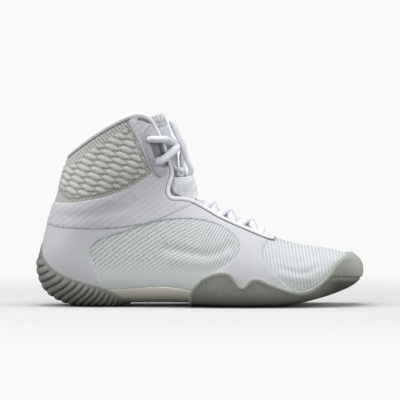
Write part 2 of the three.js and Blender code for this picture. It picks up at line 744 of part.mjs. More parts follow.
// Binding of the collar, round the back and down both front edges to the lace keeper
function makeCollarBinding() {
  const outer = edgePlaces(true).filter((place) => place.station > bindingStation);
  const inner = edgePlaces(false).filter((place) => place.station > bindingStation);
  return tube(bindingPath([...inner.slice(1).reverse(), ...outer]), bindingDiameter, 60);
}

// Binding of the throat, from the keeper down one side, round the vamp point and up the other side
function makeThroatBinding() {
  const outer = edgePlaces(true).filter((place) => place.station < bindingStation);
  const inner = edgePlaces(false).filter((place) => place.station < bindingStation);
  const places = [...outer, { station: throatStart, turn: 0.5 }, ...inner.reverse()];
  return tube(bindingPath(places), bindingDiameter, 44);
}

// Eyestay: a moulded oval rim standing on the upper round the two ankle eyelets
function makeEyestay(isOuter) {
  const [fromY, toY] = isOuter ? [-far, 0] : [0, far];
  const loop = smoothLoop(eyestayLine, 22);
  const stations = allStations.filter((station) => station >= stationOf["heel seat"]);
  const layer = formSolid(stations, turns, gap + eyestayHeight).subtract(formSolid(stations, turns, gap));
  const ring = sidePrism(loop, fromY, toY).subtract(sidePrism(insetLoop(loop, eyestayRim), fromY, toY));
  return layer.intersect(ring);
}

// A strand of lace that lies on the tongue from one side to the other, with its ends tucked under the binding
function throatStrand(from, to, startsOuter, lift) {
  const points = evenly(0, 1, 8).map((share) => {
    const station = from + (to - from) * share;
    const isOuterHalf = startsOuter === share < 0.5;
    const reach = clearReach(station, isOuterHalf) + throatLaceTuck;
    const distance = Math.abs(1 - 2 * share) * reach * (isOuterHalf ? -1 : 1);
    const step = 0.5;
    const slope = (tongueTop(station, distance + step) - tongueTop(station, distance - step)) / (2 * step);
    const clearance = (throatLaceDiameter / 2 + throatLaceClearance) * Math.hypot(1, slope);
    const rise = lift * (1 - (1 - 2 * share) ** 2);
    return skinPoint(station, turnAcross(station, distance), tongueTop(station, distance) + clearance + rise);
  });
  return solidOf(tube(points, throatLaceDiameter, 7));
}

// Throat lace: a bar at the vamp point and crossings up to the ankle, joined
function makeThroatLace() {
  let lace = throatStrand(laceRows[0], laceRows[0], true, throatLaceDiameter / 3);
  for (let i = 0; i < laceRows.length - 1; i++) {
    lace = lace.add(throatStrand(laceRows[i], laceRows[i + 1], true, 0));
    lace = lace.add(throatStrand(laceRows[i], laceRows[i + 1], false, throatLaceDiameter / 2));
  }
  return lace;
}

// A strand of ankle lace from one side's eyelet, over the eyestay and binding, to the other side's
function ankleStrand(from, to, startsOuter, bulge) {
  const start = placeOf(shareX(from.x), shareZ(from.z), startsOuter);
  const end = placeOf(shareX(to.x), shareZ(to.z), !startsOuter);
  const proud = laceDiameter / 2 + eyestayHeight + ankleLaceClearance;
  const at = (share, offset) => {
    const sag = ankleSag * 4 * share * (1 - share);
    const station = start.station + (end.station - start.station) * share - sag;
    return skinPoint(station, start.turn + (end.turn - start.turn) * share, offset);
  };
  const [left, right] = [at(ankleBend, proud), at(1 - ankleBend, proud)];
  const front = evenly(0, 1, 6).map((share) => {
    const forward = new THREE.Vector3(bulge * 4 * share * (1 - share), 0, 0);
    return left.clone().lerp(right, share).add(forward);
  });
  const rise = laceRise.map(({ bend, height }) => at(ankleBend * bend, proud * height));
  const fall = laceRise.map(({ bend, height }) => at(1 - ankleBend * bend, proud * height)).reverse();
  return solidOf(tube([...rise, ...front, ...fall], laceDiameter, 24));
}

// Ankle lace: two strands that come out of the eyelets and cross in front of the tongue, joined
function makeAnkleLace() {
  const [top, second] = eyelets;
  return ankleStrand(top, second, true, ankleBulge).add(ankleStrand(top, second, false, ankleBulge + ankleLift));
}

// Lace keeper: an elastic pocket across the tongue at the ankle's bend, which holds the knot
function makeKeeper() {
  const halfWidth = (station, isOuter) => clearReach(station, isOuter) - bindingSeat;
  const base = (station, distance) => tongueTop(station, distance) + keeperClearance + keeperThickness;
  const end = (share) => keeperEnd + keeperRise * Math.abs(share) ** 1.5;
  const stationAt = (station, share) => {
    return keeperStart + ((station - keeperStart) * (end(share) - keeperStart)) / (keeperEnd - keeperStart);
  };
  const top = (station, distance) => {
    const share = distance / halfWidth(station, distance < 0);
    const lengthwise = (station - keeperStart) / (end(share) - keeperStart);
    const lean = keeperHem + (1 - keeperHem) * Math.sin(Math.PI * keeperMouth * lengthwise);
    return base(station, distance) + keeperBulge * lean * (1 - share ** 2) ** keeperRoundness;
  };
  const bottom = (station, distance) => top(station, distance) - keeperThickness;
  return stripSolid(evenly(keeperStart, keeperEnd, 7), 10, halfWidth, top, bottom, stationAt);
}

// A point near the shoe's middle from a row of a cord's table
function frontPoint(row) {
  return new THREE.Vector3(shareX(row.x), row.y, shareZ(row.z));
}

function makeKnot() {
  const knot = new THREE.SphereGeometry(0.5, 12, 8);
  knot.scale(knotSize.x, knotSize.y, knotSize.z);
  const offset = tongueTop(knotStation, -knotAside) + knotClearance + knotSize.x / 2;
  const centre = skinPoint(knotStation, turnAcross(knotStation, -knotAside), offset);
  knot.translate(centre.x, centre.y, centre.z);
  return knot;
}

function makeCord(route, steps) {
  return tube(route.map(frontPoint), laceDiameter, steps);
}

const finish = {
  whiteKnit: { color: 0xdfe1e0, roughness: 0.85, metalness: 0 },
  foam: { color: 0xcdcabd, roughness: 0.6, metalness: 0 },
  rubber: { color: 0x7f827c, roughness: 0.7, metalness: 0 },
  trim: { color: 0xe2e2e6, roughness: 0.6, metalness: 0 },
  lining: { color: 0xd5d8de, roughness: 0.9, metalness: 0 },
  lace: { color: 0xe8e9ec, roughness: 0.8, metalness: 0 },
};

function geometryOf(solid) {
  const mesh = solid.getMesh();
  const positions = new Float32Array(mesh.numVert * 3);
  for (let i = 0; i < mesh.numVert; i++) {
    positions.set(mesh.vertProperties.subarray(i * mesh.numProp, i * mesh.numProp + 3), i * 3);
  }
  const geometry = new THREE.BufferGeometry();
  geometry.setAttribute("position", new THREE.BufferAttribute(positions, 3));
  geometry.setIndex(new THREE.BufferAttribute(new Uint32Array(mesh.triVerts), 1));
  geometry.computeVertexNormals();
  return geometry;
}

const shoe = new THREE.Group();
shoe.name = "wrestling_shoe";

function addPiece(name, shape, look) {
  const solid = shape.isBufferGeometry ? solidOf(shape) : shape;
  const geometry = geometryOf(mainBody(solid.asOriginal().simplify(facetTolerance)));
  const mesh = new THREE.Mesh(geometry, new THREE.MeshStandardMaterial(look));
  mesh.name = name;
  shoe.add(mesh);
}

addPiece("upper", makeUpper(), finish.whiteKnit);
addPiece("midsole", makeMidsole(), finish.foam);
addPiece("insole", makeInsole(), finish.lining);
addPiece("outsole_heel", makeHeelRubber(), finish.rubber);
addPiece("outsole_forefoot", makeForefootRubber(), finish.rubber);
addPiece("tongue", makeTongue(), finish.lining);
addPiece("collar_binding", makeCollarBinding(), finish.trim);
addPiece("throat_binding", makeThroatBinding(), finish.trim);
addPiece("eyestay_outer", makeEyestay(true), finish.trim);
addPiece("eyestay_inner", makeEyestay(false), finish.trim);
addPiece("lace_throat", makeThroatLace(), finish.lace);
addPiece("lace_ankle", makeAnkleLace(), finish.lace);
addPiece("lace_keeper", makeKeeper(), finish.lining);
addPiece("lace_knot", makeKnot(), finish.lace);
addPiece("lace_loop", makeCord(loopRoute, 22), finish.lace);

// The part's origin is on the floor, under the middle of the shoe's box.
const box = new THREE.Box3().setFromObject(shoe);
const middle = box.getCenter(new THREE.Vector3());
shoe.position.set(-middle.x, -middle.y, -box.min.z);

export default shoe;
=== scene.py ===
# Wrestling shoe for the right foot, high-cut and white, on a plain pale floor.
# Metres. X runs from the heel to the toe, Y from the outer to the inner side of the foot, Z up from the floor.
import math
import bpy
import numpy as np
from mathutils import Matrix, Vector


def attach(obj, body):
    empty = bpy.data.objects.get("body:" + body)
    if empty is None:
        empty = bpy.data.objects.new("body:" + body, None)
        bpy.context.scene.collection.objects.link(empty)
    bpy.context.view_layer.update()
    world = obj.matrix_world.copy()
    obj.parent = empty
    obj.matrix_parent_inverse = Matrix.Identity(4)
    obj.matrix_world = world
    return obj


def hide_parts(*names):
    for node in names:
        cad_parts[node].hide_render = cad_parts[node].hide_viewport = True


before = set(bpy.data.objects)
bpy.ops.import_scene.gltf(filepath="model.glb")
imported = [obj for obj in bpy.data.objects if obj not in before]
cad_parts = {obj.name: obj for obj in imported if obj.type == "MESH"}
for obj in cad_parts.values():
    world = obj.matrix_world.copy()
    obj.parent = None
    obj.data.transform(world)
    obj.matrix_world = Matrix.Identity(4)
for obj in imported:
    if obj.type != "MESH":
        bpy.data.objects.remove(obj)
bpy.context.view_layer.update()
bpy.ops.object.select_all(action="DESELECT")

# Camera: a little above level, square to the outer side of the shoe, and so far away that lines stay parallel.
# The view's centre and width are in millimetres of the shoe.
view_centre = (0.1, 0, 95.4)
view_width = 361.6
camera_distance = 3000
camera_height = math.radians(1.5)
camera_offset = (0, -camera_distance * math.cos(camera_height), camera_distance * math.sin(camera_height))
bpy.ops.object.camera_add(
    location=[(centre + offset) / 1000 for centre, offset in zip(view_centre, camera_offset)],
    rotation=(math.pi / 2 - camera_height, 0, 0),
)
camera = bpy.context.object
camera.name = "camera"
camera.data.sensor_width = 36
camera.data.lens = camera.data.sensor_width * camera_distance / view_width
camera.data.clip_end = 60
bpy.context.scene.camera = camera

# Lace loop: the spare lace stands in a loop over the tongue, round and woven of white polyester.
# It comes out of the keeper at the ankle's bend, rises past the collar's front and goes back into the keeper.
# The length and height are shares of the shoe's, across is in millimetres to the inner side.
shoe_length = 295
shoe_height = 174.4
foot_lift = 2.4
form_height = shoe_height - foot_lift
shift_x = -147.486
shift_y = 0.861
lace_width = 4.6
loop_route = [
    (0.4615, -2.8, 0.655), (0.4705, -3.6, 0.676), (0.473, -4, 0.702), (0.467, -4.2, 0.728), (0.459, -4, 0.757),
    (0.4535, -3.6, 0.8), (0.446, -2.6, 0.841), (0.431, -1.6, 0.891), (0.42, -0.4, 0.935), (0.414, 2.4, 0.955),
    (0.416, 5.4, 0.935), (0.429, 8, 0.885), (0.4425, 9.4, 0.845), (0.447, 9.6, 0.8), (0.444, 9, 0.765),
    (0.4455, 7.6, 0.729), (0.45, 5.8, 0.696), (0.456, 4, 0.662),
]


def in_metres(points):
    """Millimetres from the heel, as the shoe is drawn, to metres in the frame."""
    return (np.asarray(points, float) + (shift_x, shift_y, 0)) / 1000


def lengths_along(points):
    """The length of a line up to each of its points."""
    return np.concatenate([[0], np.cumsum(np.linalg.norm(np.diff(points, axis=0), axis=1))])


def unit(vectors):
    return vectors / np.linalg.norm(vectors, axis=-1, keepdims=True)


def smooth_path(points, steps):
    """A smooth line through the points, with the given number of evenly spaced points."""
    points = np.asarray(points, float)
    n = len(points)
    knots = np.concatenate([[0], np.cumsum(np.linalg.norm(np.diff(points, axis=0), axis=1) ** 0.5)])
    before, after = np.maximum(np.arange(n) - 1, 0), np.minimum(np.arange(n) + 1, n - 1)
    slopes = (points[after] - points[before]) / (knots[after] - knots[before])[:, None]
    t = np.linspace(0, knots[-1], 20 * n)
    at = np.clip(np.searchsorted(knots, t, side="right") - 1, 0, n - 2)
    width = (knots[at + 1] - knots[at])[:, None]
    s = (t - knots[at])[:, None] / width
    line = (
        (2 * s**3 - 3 * s**2 + 1) * points[at] + (s**3 - 2 * s**2 + s) * width * slopes[at]
        + (3 * s**2 - 2 * s**3) * points[at + 1] + (s**3 - s**2) * width * slopes[at + 1]
    )
    along = lengths_along(line)
    even = np.linspace(0, along[-1], steps)
    return np.stack([np.interp(even, along, line[:, k]) for k in range(3)], axis=1)


def mesh_piece(name, points, faces, uv=None, values=None):
    """A smooth-shaded mesh from points in metres. uv and values hold one entry for each point."""
    data = bpy.data.meshes.new(name)
    data.from_pydata([tuple(p) for p in points], [], [tuple(map(int, f)) for f in faces])
    data.validate()
    corners = np.empty(len(data.loops), int)
    data.loops.foreach_get("vertex_index", corners)
    if uv is not None:
        layer = data.uv_layers.new(name="surface")
        layer.data.foreach_set("uv", np.asarray(uv, float)[corners].ravel())
    for key, numbers in (values or {}).items():
        data.attributes.new(key, "FLOAT", "POINT").data.foreach_set("value", np.asarray(numbers, float))
    data.shade_smooth()
    piece = bpy.data.objects.new(name, data)
    bpy.context.scene.collection.objects.link(piece)
    return piece


def swept(name, path, width, height=None, sides=16, up=(0, 0, 1)):
    """A closed tube of an oval section along a path in millimetres. Its UV runs round and along it, in metres."""
    path, width, height = in_metres(path), width / 1000, (height or width) / 1000
    tangents = unit(np.gradient(path, axis=0))
    side = np.cross(tangents[0], up)
    along = lengths_along(path)
    points, uv, faces = [], [], []
    for i, (centre, tangent) in enumerate(zip(path, tangents)):
        side = unit(side - tangent * side.dot(tangent))
        rise = np.cross(side, tangent)
        for j in range(sides):
            angle = 2 * math.pi * j / sides
            points.append(centre + (side * math.cos(angle) * width + rise * math.sin(angle) * height) / 2)
            uv.append((angle * width / 2, along[i]))
            if i:
                a, b, k = (i - 1) * sides, i * sides, (j + 1) % sides
                faces.append((a + j, b + j, b + k, a + k))
    for row, order in ((0, 1), (len(path) - 1, -1)):
        points.append(path[row])
        uv.append((0, along[row]))
        for j in range(sides):
            pair = (row * sides + j, row * sides + (j + 1) % sides)
            faces.append((len(points) - 1, *pair[::order]))
    return mesh_piece(name, points, faces, uv)


def linear(code):
    """An sRGB hex value as the linear colour that a shader takes."""
    parts = [int(code[i:i + 2], 16) / 255 for i in (1, 3, 5)]
    return tuple(c / 12.92 if c <= 0.04045 else ((c + 0.055) / 1.055) ** 2.4 for c in parts) + (1,)


def node(tree, kind, inputs=None, **settings):
    """Adds a shader node; inputs are constants or the sockets that feed it."""
    made = tree.nodes.new("ShaderNode" + kind)
    for key, value in settings.items():
        setattr(made, key, value)
    for key, value in (inputs or {}).items():
        socket = made.inputs[key]
        if isinstance(value, bpy.types.NodeSocket):
            tree.links.new(value, socket)
        else:
            socket.default_value = value
    return made


def new_material(name):
    material = bpy.data.materials.new(name)
    material.use_nodes = True
    material.node_tree.nodes.clear()
    return material, material.node_tree


def coated(material, tree, colour, height, strength, distance, roughness, sheen=0):
    """Ends a material with its shader. height is the bump's, distance its depth in metres."""
    bump = node(tree, "Bump", {"Height": height, "Strength": strength, "Distance": distance}).outputs[0]
    finish = {"Base Color": colour, "Normal": bump, "Roughness": roughness, "Sheen Weight": sheen}
    shader = node(tree, "BsdfPrincipled", finish)
    node(tree, "OutputMaterial", {"Surface": shader.outputs[0]})
    return material


def on_surface(tree):
    return node(tree, "UVMap", uv_map="surface").outputs[0]


def turned(tree, place, rotation, scale=(1, 1, 1)):
    return node(tree, "Mapping", {"Vector": place, "Rotation": rotation, "Scale": scale}).outputs[0]


wave_repeat = 0.314


def stripes(tree, place, pitch, distortion, axis="X", detail=2, detail_scale=1):
    """Soft stripes, a pitch apart in metres. At scale 1 the wave texture repeats every wave_repeat."""
    inputs = {"Vector": place, "Scale": wave_repeat / pitch, "Distortion": distortion, "Detail": detail,
              "Detail Scale": detail_scale}
    return node(tree, "TexWave", inputs, bands_direction=axis).outputs["Fac"]


def maths(tree, operation, *values):
    return node(tree, "Math", dict(enumerate(values)), operation=operation).outputs[0]


def times(tree, value, other):
    return maths(tree, "MULTIPLY", value, other)


def blend(tree, share, start, end):
    """From one colour to another by a share; a colour is a hex value or a socket."""
    start, end = (linear(colour) if isinstance(colour, str) else colour for colour in (start, end))
    return node(tree, "Mix", {"Factor": share, 6: start, 7: end}, data_type="RGBA").outputs[2]


def braided_polyester(name, colour, shade, pitch):
    """Woven polyester lace: fine crossing plies with dull gloss. pitch is the real spacing of the plies in metres."""
    material, tree = new_material(name)
    plies = [stripes(tree, turned(tree, on_surface(tree), (0, 0, turn)), pitch, 0.3) for turn in (0.9, -0.9)]
    weave = times(tree, *plies)
    return coated(material, tree, blend(tree, weave, shade, colour), weave, 0.45, 0.0004, 0.78, 0.15)


def dress(piece, material, solid=None):
    """Gives a piece its material and slot, hangs it on the root body, and hides the solid that it replaces."""
    piece.data.materials.append(material)
    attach(piece, "root")
    if solid:
        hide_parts(solid)


lace_cloth = braided_polyester("woven_polyester_lace", "#fbfbfd", "#e8eaf0", 0.0011)
loop_path = smooth_path([(x * shoe_length, y, foot_lift + z * form_height) for x, y, z in loop_route], 110)
lace_loop = swept("spare_lace_loop", loop_path, lace_width, sides=14, up=(0, 1, 0))
dress(lace_loop, lace_cloth, "lace_loop")

# Upper, base cloth: one knitted mesh wall round the foot, open at the collar and throat and lasted to the sole.
# It follows the last: sections that fan from the toe tip round the heel bend to the collar. A section's low point is
# on the sole or heel line and its high point on the instep line. Shares are of the shoe's length, height and widths.
ball_width = 94
heel_width = 66
collar_width = 68
upper_wall = 2.4
collar_pad = 4.4
fit_gap = 0.3
# low_x, low_z, high_x, high_z, width, outer, inner, keel, ridge, waist, round_low, round_high
section_rows = [
    (0.989, 0.17, 0.989, 0.17, ball_width, -0.19, 0.19, 0.19, 0.19, 0.5, 2.1, 2.1),  # toe tip
    (0.985, 0.138, 0.986, 0.204, ball_width, 0.085, 0.447, 0.18, 0.19, 0.5, 2.2, 2.2),  # toe front
    (0.966, 0.109, 0.972, 0.233, ball_width, 0.32, 0.617, 0.15, 0.19, 0.45, 2.4, 2.2),  # toe cap
    (0.936, 0.085, 0.942, 0.263, ball_width, 0.553, 0.745, 0.1, 0.18, 0.38, 2.7, 2.2),  # toe top
    (0.884, 0.054, 0.887, 0.288, ball_width, 0.766, 0.84, 0.04, 0.16, 0.33, 3, 2.1),  # toes
    (0.807, 0.021, 0.807, 0.307, ball_width, 0.926, 0.926, 0, 0.14, 0.3, 3.3, 2),  # toe bend
    (0.733, 0.005, 0.73, 0.347, ball_width, 1, 0.99, 0, 0.12, 0.28, 3.5, 1.95),  # inner ball
    (0.654, 0.001, 0.66, 0.414, ball_width, 1.03, 0.98, 0, 0.1, 0.26, 3.5, 1.85),  # outer ball
    (0.568, 0.001, 0.599, 0.46, ball_width, 1.01, 0.894, 0, 0.07, 0.25, 3.4, 1.8),  # mid foot
    (0.485, 0.006, 0.54, 0.51, ball_width, 0.947, 0.787, 0, 0.05, 0.26, 3.2, 1.75),  # arch
    (0.393, 0.009, 0.494, 0.557, ball_width, 0.872, 0.734, 0, 0.03, 0.27, 3, 1.75),  # instep
    (0.286, 0.006, 0.467, 0.607, ball_width, 0.809, 0.723, 0, 0.02, 0.27, 2.9, 1.75),  # long heel
    (0.179, 0.006, 0.453, 0.655, heel_width, 1.09, 1.03, 0, 0, 0.27, 2.8, 1.8),  # heel seat
    (0.096, 0.022, 0.445, 0.692, heel_width, 1.045, 1.015, 0, 0, 0.28, 2.6, 1.85),  # short heel
    (0.036, 0.083, 0.441, 0.723, heel_width, 1.015, 1, 0, 0, 0.3, 2.4, 1.9),  # heel bend
    (0.013, 0.196, 0.436, 0.755, heel_width, 1, 1, 0, 0, 0.34, 2.3, 1.95),  # heel back
    (0.021, 0.323, 0.429, 0.803, heel_width, 1.015, 1.03, 0, 0, 0.42, 2.1, 2),  # heel top
    (0.038, 0.439, 0.421, 0.853, collar_width, 1.03, 1.06, 0, 0, 0.5, 2, 2.1),  # ankle
    (0.065, 0.579, 0.412, 0.908, collar_width, 1.03, 1.045, 0, 0, 0.5, 2, 2.2),  # above ankle
    (0.091, 0.738, 0.401, 0.966, collar_width, 1, 1, 0, 0, 0.5, 2, 2.3),  # shaft
    (0.12, 0.909, 0.383, 1.077, collar_width, 0.985, 0.985, 0, 0, 0.5, 2, 2.3),  # above collar
]


def side_points(table):
    """Shares of the length and height, seen from the side, as millimetres."""
    return np.asarray(table, float) * (shoe_length, form_height) + (0, foot_lift)


rows = np.array(section_rows, float)
form_table = np.column_stack([
    side_points(rows[:, 0:2]), side_points(rows[:, 2:4]),
    rows[:, 5:9] * rows[:, 4:5] / 2 * (-1, 1, 1, 1), rows[:, 9:12],
])
last_station = len(form_table) - 1


def passage(points, t):
    """The smooth passage through a table's rows at fractional rows t."""
    t = np.asarray(t, float)
    i = np.clip(np.floor(t).astype(int), 0, len(points) - 2)
    f = (t - i)[..., None]
    a, b, c, d = (points[np.clip(i + k, 0, len(points) - 1)] for k in (-1, 0, 1, 2))
    return b + 0.5 * f * (c - a + f * (2 * a - 5 * b + 4 * c - d + f * (3 * (b - c) + d - a)))


def form_points(station, turn):
    """Points of the last. A turn goes once round: 0 low point, 0.25 outer side, 0.5 high point, 0.75 inner side."""
    station, turn = np.broadcast_arrays(np.asarray(station, float), np.asarray(turn, float))
    s = passage(form_table, station)
    lengthwise, sideways = np.cos(turn * 2 * np.pi), np.sin(turn * 2 * np.pi)
    is_low = lengthwise >= 0
    side = np.where(sideways >= 0, s[..., 4], s[..., 5])
    power = 2 / np.where(is_low, s[..., 9], s[..., 10])
    reach = np.abs(lengthwise) ** power
    along = np.where(is_low, s[..., 8] * (1 - reach), s[..., 8] + (1 - s[..., 8]) * reach)
    middle = np.where(is_low, s[..., 6], s[..., 7])
    y = middle + (side - middle) * np.abs(sideways) ** power
    x = s[..., 0] + (s[..., 2] - s[..., 0]) * along
    z = s[..., 1] + (s[..., 3] - s[..., 1]) * along
    return np.stack([x, y, z], axis=-1)


def form_normals(station, turn):
    """The outward directions of the last's surface."""
    station, turn = np.broadcast_arrays(np.asarray(station, float), np.asarray(turn, float))
    back = np.maximum(station - 0.04, 0)
    along = form_points(np.minimum(station + 0.04, last_station), turn) - form_points(back, turn)
    normal = np.cross(form_points(station, turn + 0.004) - form_points(station, turn - 0.004), along)
    length = np.linalg.norm(normal, axis=-1, keepdims=True)
    normal = np.where(length > 1e-9, normal / np.maximum(length, 1e-9), (1, 0, 0))
    return np.where((station < 0.04)[..., None], (1, 0, 0), normal)


def skin_points(station, turn, offset):
    return form_points(station, turn) + form_normals(station, turn) * np.asarray(offset, float)[..., None]


def turn_across(station, distance):
    """The turn that lies a distance across from the high point: outer side negative, inner side positive."""
    station, distance = np.broadcast_arrays(np.asarray(station, float), np.asarray(distance, float))
    s = passage(form_table, station)
    side = np.where(distance < 0, s[..., 4], s[..., 5])
    reach = np.minimum(np.abs(distance / (side - s[..., 7])), 1)
    angle = np.arcsin(reach ** (s[..., 10] / 2)) / (2 * np.pi)
    return np.where(distance < 0, 0.5 - angle, 0.5 + angle)


def smooth_step(share):
    t = np.clip(share, 0, 1)
    return t * t * (3 - 2 * t)


def smooth_line(table, steps):
    return passage(side_points(table), np.linspace(0, len(table) - 1, steps + 1))


def smooth_loop(table, steps):
    points = side_points(table)
    ring = np.concatenate([points[-2:], points, points[:3]])
    return passage(ring, 2 + np.linspace(0, len(points), steps, endpoint=False))


def distance_to(line, points):
    """The least distance from points, seen from the side, to a line."""
    here = points[..., ::2].reshape(-1, 2)
    least = np.full(len(here), np.inf)
    for a, b in zip(line[:-1], line[1:]):
        span = b - a
        t = np.clip((here - a) @ span / max(span @ span, 1e-12), 0, 1)
        least = np.minimum(least, np.hypot(*(here - a - t[:, None] * span).T))
    return least.reshape(points.shape[:-1])


def inside_by(outline, points):
    """How far points, seen from the side, lie inside a closed outline; negative outside it."""
    loop = np.concatenate([outline, outline[:1]])
    x, z = points[..., 0], points[..., 2]
    within = np.zeros(x.shape, bool)
    for a, b in zip(loop[:-1], loop[1:]):
        if a[1] != b[1]:
            within ^= ((a[1] > z) != (b[1] > z)) & (x < a[0] + (z - a[1]) / (b[1] - a[1]) * (b[0] - a[0]))
    return np.where(within, 1, -1) * distance_to(loop, points)


opening_line = [
    (0.085, 0.768), (0.101, 0.774), (0.11, 0.789), (0.133, 0.818), (0.176, 0.871), (0.231, 0.928), (0.28, 0.968),
    (0.31, 0.982), (0.335, 0.974), (0.353, 0.95), (0.369, 0.9), (0.382, 0.85), (0.393, 0.792), (0.404, 0.734),
    (0.411, 0.681), (0.404, 0.639), (0.399, 0.601), (0.402, 0.565), (0.416, 0.546), (0.448, 0.543), (0.482, 0.528),
    (0.522, 0.49), (0.562, 0.451), (0.635, 0.395), (0.703, 0.346), (0.727, 0.338),
]
opening = np.concatenate([
    smooth_line(opening_line, 90), side_points([(0.727, 0.5), (0.6, 2), (-0.2, 2), (-0.2, 0.768)]),
])
feather_line = [
    (-0.036, 0.096), (0.071, 0.091), (0.163, 0.085), (0.231, 0.08), (0.28, 0.085), (0.344, 0.093), (0.387, 0.097),
    (0.43, 0.09), (0.47, 0.078), (0.546, 0.059), (0.654, 0.048), (0.761, 0.054), (0.838, 0.075), (0.914, 0.114),
    (0.96, 0.146), (1.037, 0.201),
]
feather = smooth_line(feather_line, 40)
eyelet_places = [(0.344, 0.861), (0.368, 0.746)]
eyelet_hole = 6.4
# Soft creases where the empty shoe's cloth has been bent: a line seen from the side, its depth and its width.
creases = [
    (((0.395, 0.292), (0.44, 0.283), (0.492, 0.267), (0.53, 0.262), (0.565, 0.28), (0.59, 0.312)), 1.5, 3.6),
    (((0.42, 0.235), (0.47, 0.222), (0.53, 0.222), (0.585, 0.26)), -0.8, 4.5),
    (((0.745, 0.195), (0.79, 0.172), (0.828, 0.172), (0.855, 0.2)), 1, 2.6),
    (((0.72, 0.243), (0.765, 0.228), (0.81, 0.228), (0.85, 0.25)), 0.5, 3),
    (((0.735, 0.16), (0.79, 0.138), (0.835, 0.138)), -0.5, 3.2),
    (((0.075, 0.49), (0.15, 0.5), (0.235, 0.545), (0.275, 0.585)), -0.45, 3),
    (((0.1, 0.455), (0.18, 0.465), (0.27, 0.5), (0.33, 0.56)), 0.4, 3),
    (((0.17, 0.44), (0.25, 0.45), (0.32, 0.49), (0.375, 0.56)), -0.4, 3),
    (((0.208, 0.553), (0.24, 0.543), (0.268, 0.525)), -0.5, 1.6),
    (((0.296, 0.572), (0.315, 0.566), (0.335, 0.552)), -0.5, 1.5),
    (((0.332, 0.628), (0.35, 0.63), (0.369, 0.622)), -0.45, 1.4),
    (((0.29, 0.47), (0.34, 0.51), (0.392, 0.585)), 0.45, 2.4),
]
piping_groove = 1
groove_width = 1.9


def ridge(value, place, width):
    """A soft ridge as a share: 1 where the value is at its place."""
    return np.exp(-((value - place) / width) ** 2)


def relief(points):
    """The creases' height at points of the last: troughs are below zero."""
    height = -piping_groove * ridge(open_by(points), 0, groove_width)
    for line, depth, width in creases:
        height -= depth * ridge(distance_to(smooth_line(line, 14), points), 0, width)
    return height


def wall_at(station):
    return upper_wall + (collar_pad - upper_wall) * smooth_step((np.asarray(station) - 17) / 2)


def open_by(points):
    """How far points lie from the cut of the collar and throat, positive on the cloth."""
    return -inside_by(opening, points)


def clear_of_eyelets(points):
    gaps = [np.hypot(points[..., 0] - x, points[..., 2] - z) - eyelet_hole / 2 for x, z in side_points(eyelet_places)]
    return np.minimum.reduce(gaps)


def above_feather(points, rise=0.15):
    return points[..., 2] - np.interp(points[..., 0], feather[:, 0], feather[:, 1]) - rise


def quads_of(grid):
    """The corners of each cell in a grid of point numbers."""
    return np.stack([grid[:-1, :-1], grid[:-1, 1:], grid[1:, 1:], grid[1:, :-1]], axis=-1).reshape(-1, 4)


def compact(faces, count):
    """The points that faces use, and the faces with these points' new numbers."""
    used = np.unique(np.concatenate(faces))
    place = np.full(count, -1)
    place[used] = np.arange(len(used))
    return used, [tuple(place[list(face)]) for face in faces]


def layer(name, stations, turns, keep, low, high, uv, floor_flat=False, marks=None):
    """A closed layer on the last, between the offsets low and high, where keep is above zero.

    keep takes points of the last; low, high and marks take stations, turns, points and how far inside they lie.
    marks gives further named values of the surface for its material.
    """
    grid = np.meshgrid(stations, turns, indexing="ij")
    points = form_points(*grid)
    value = keep(points).ravel()
    facts = list(np.stack([*grid, *uv(*grid, points)], axis=-1).reshape(-1, 4))
    quads = quads_of(np.arange(len(facts)).reshape(points.shape[:-1]))
    inside = value[quads] > 0
    faces = quads[inside.all(axis=1)].tolist()
    cuts = {}
    for quad in quads[inside.any(axis=1) & ~inside.all(axis=1)].tolist():
        polygon = []
        for p, q in zip(quad, quad[1:] + quad[:1]):
            if value[p] > 0:
                polygon.append(p)
            if (value[p] > 0) != (value[q] > 0):
                p, q = sorted((p, q))
                if (p, q) not in cuts:
                    t = value[p] / (value[p] - value[q])
                    cuts[p, q] = len(facts)
                    facts.append(facts[p] * (1 - t) + facts[q] * t)
                polygon.append(cuts[p, q])
        if len(polygon) > 2:
            faces.append(polygon)
    used, faces = compact(faces, len(facts))
    facts = np.array(facts)[used]
    count, station, turn = len(facts), facts[:, 0], facts[:, 1]
    points = form_points(station, turn)
    depth = np.maximum(keep(points), 0)
    sides = [skin_points(station, turn, offset(station, turn, points, depth)) for offset in (high, low)]
    # The seam under the sole and up the heel's back is closed by giving its two edges one set of points.
    _, first, same = np.unique(np.round(sides[0], 3), axis=0, return_index=True, return_inverse=True)
    order = first[same.ravel()]
    rings = [order[list(face)].tolist() for face in faces]
    edges = dict.fromkeys((p, q) for ring in rings for p, q in zip(ring, ring[1:] + ring[:1]) if p != q)
    shell = [ring for ring in rings if len(set(ring)) == len(ring)]
    lining = [[v + count for v in ring[::-1]] for ring in shell]
    rim = [(q, p, p + count, q + count) for p, q in edges if (q, p) not in edges]
    every = np.concatenate(sides)
    if floor_flat:
        every[:, 2] = np.maximum(every[:, 2], 0)
    kept, faces = compact(shell + lining + rim, len(every))
    values = {"from_edge": depth, **(marks(station, turn, points, depth) if marks else {})}
    values = {key: np.tile(numbers, 2)[kept] for key, numbers in values.items()}
    values["lining_side"] = (kept >= count).astype(float)
    return mesh_piece(name, in_metres(every[kept]), faces, np.tile(facts[:, 2:], (2, 1))[kept] / 1000, values)


def arcs(points, axis, parts):
    """Distances in millimetres along a grid of points, counted in the given coordinates."""
    steps = np.linalg.norm(np.diff(points[..., parts], axis=axis), axis=-1)
    pad = [(0, 0), (0, 0)]
    pad[axis] = (1, 0)
    return np.cumsum(np.pad(steps, pad), axis=axis)


def over_top_uv(stations, turns, points):
    """Round the foot from its high line, and along it."""
    around = arcs(points, 1, [1, 2])
    middle = np.array([np.interp(0.5, turns[i], around[i]) for i in range(len(around))])
    return around - middle[:, None], points[..., 0]


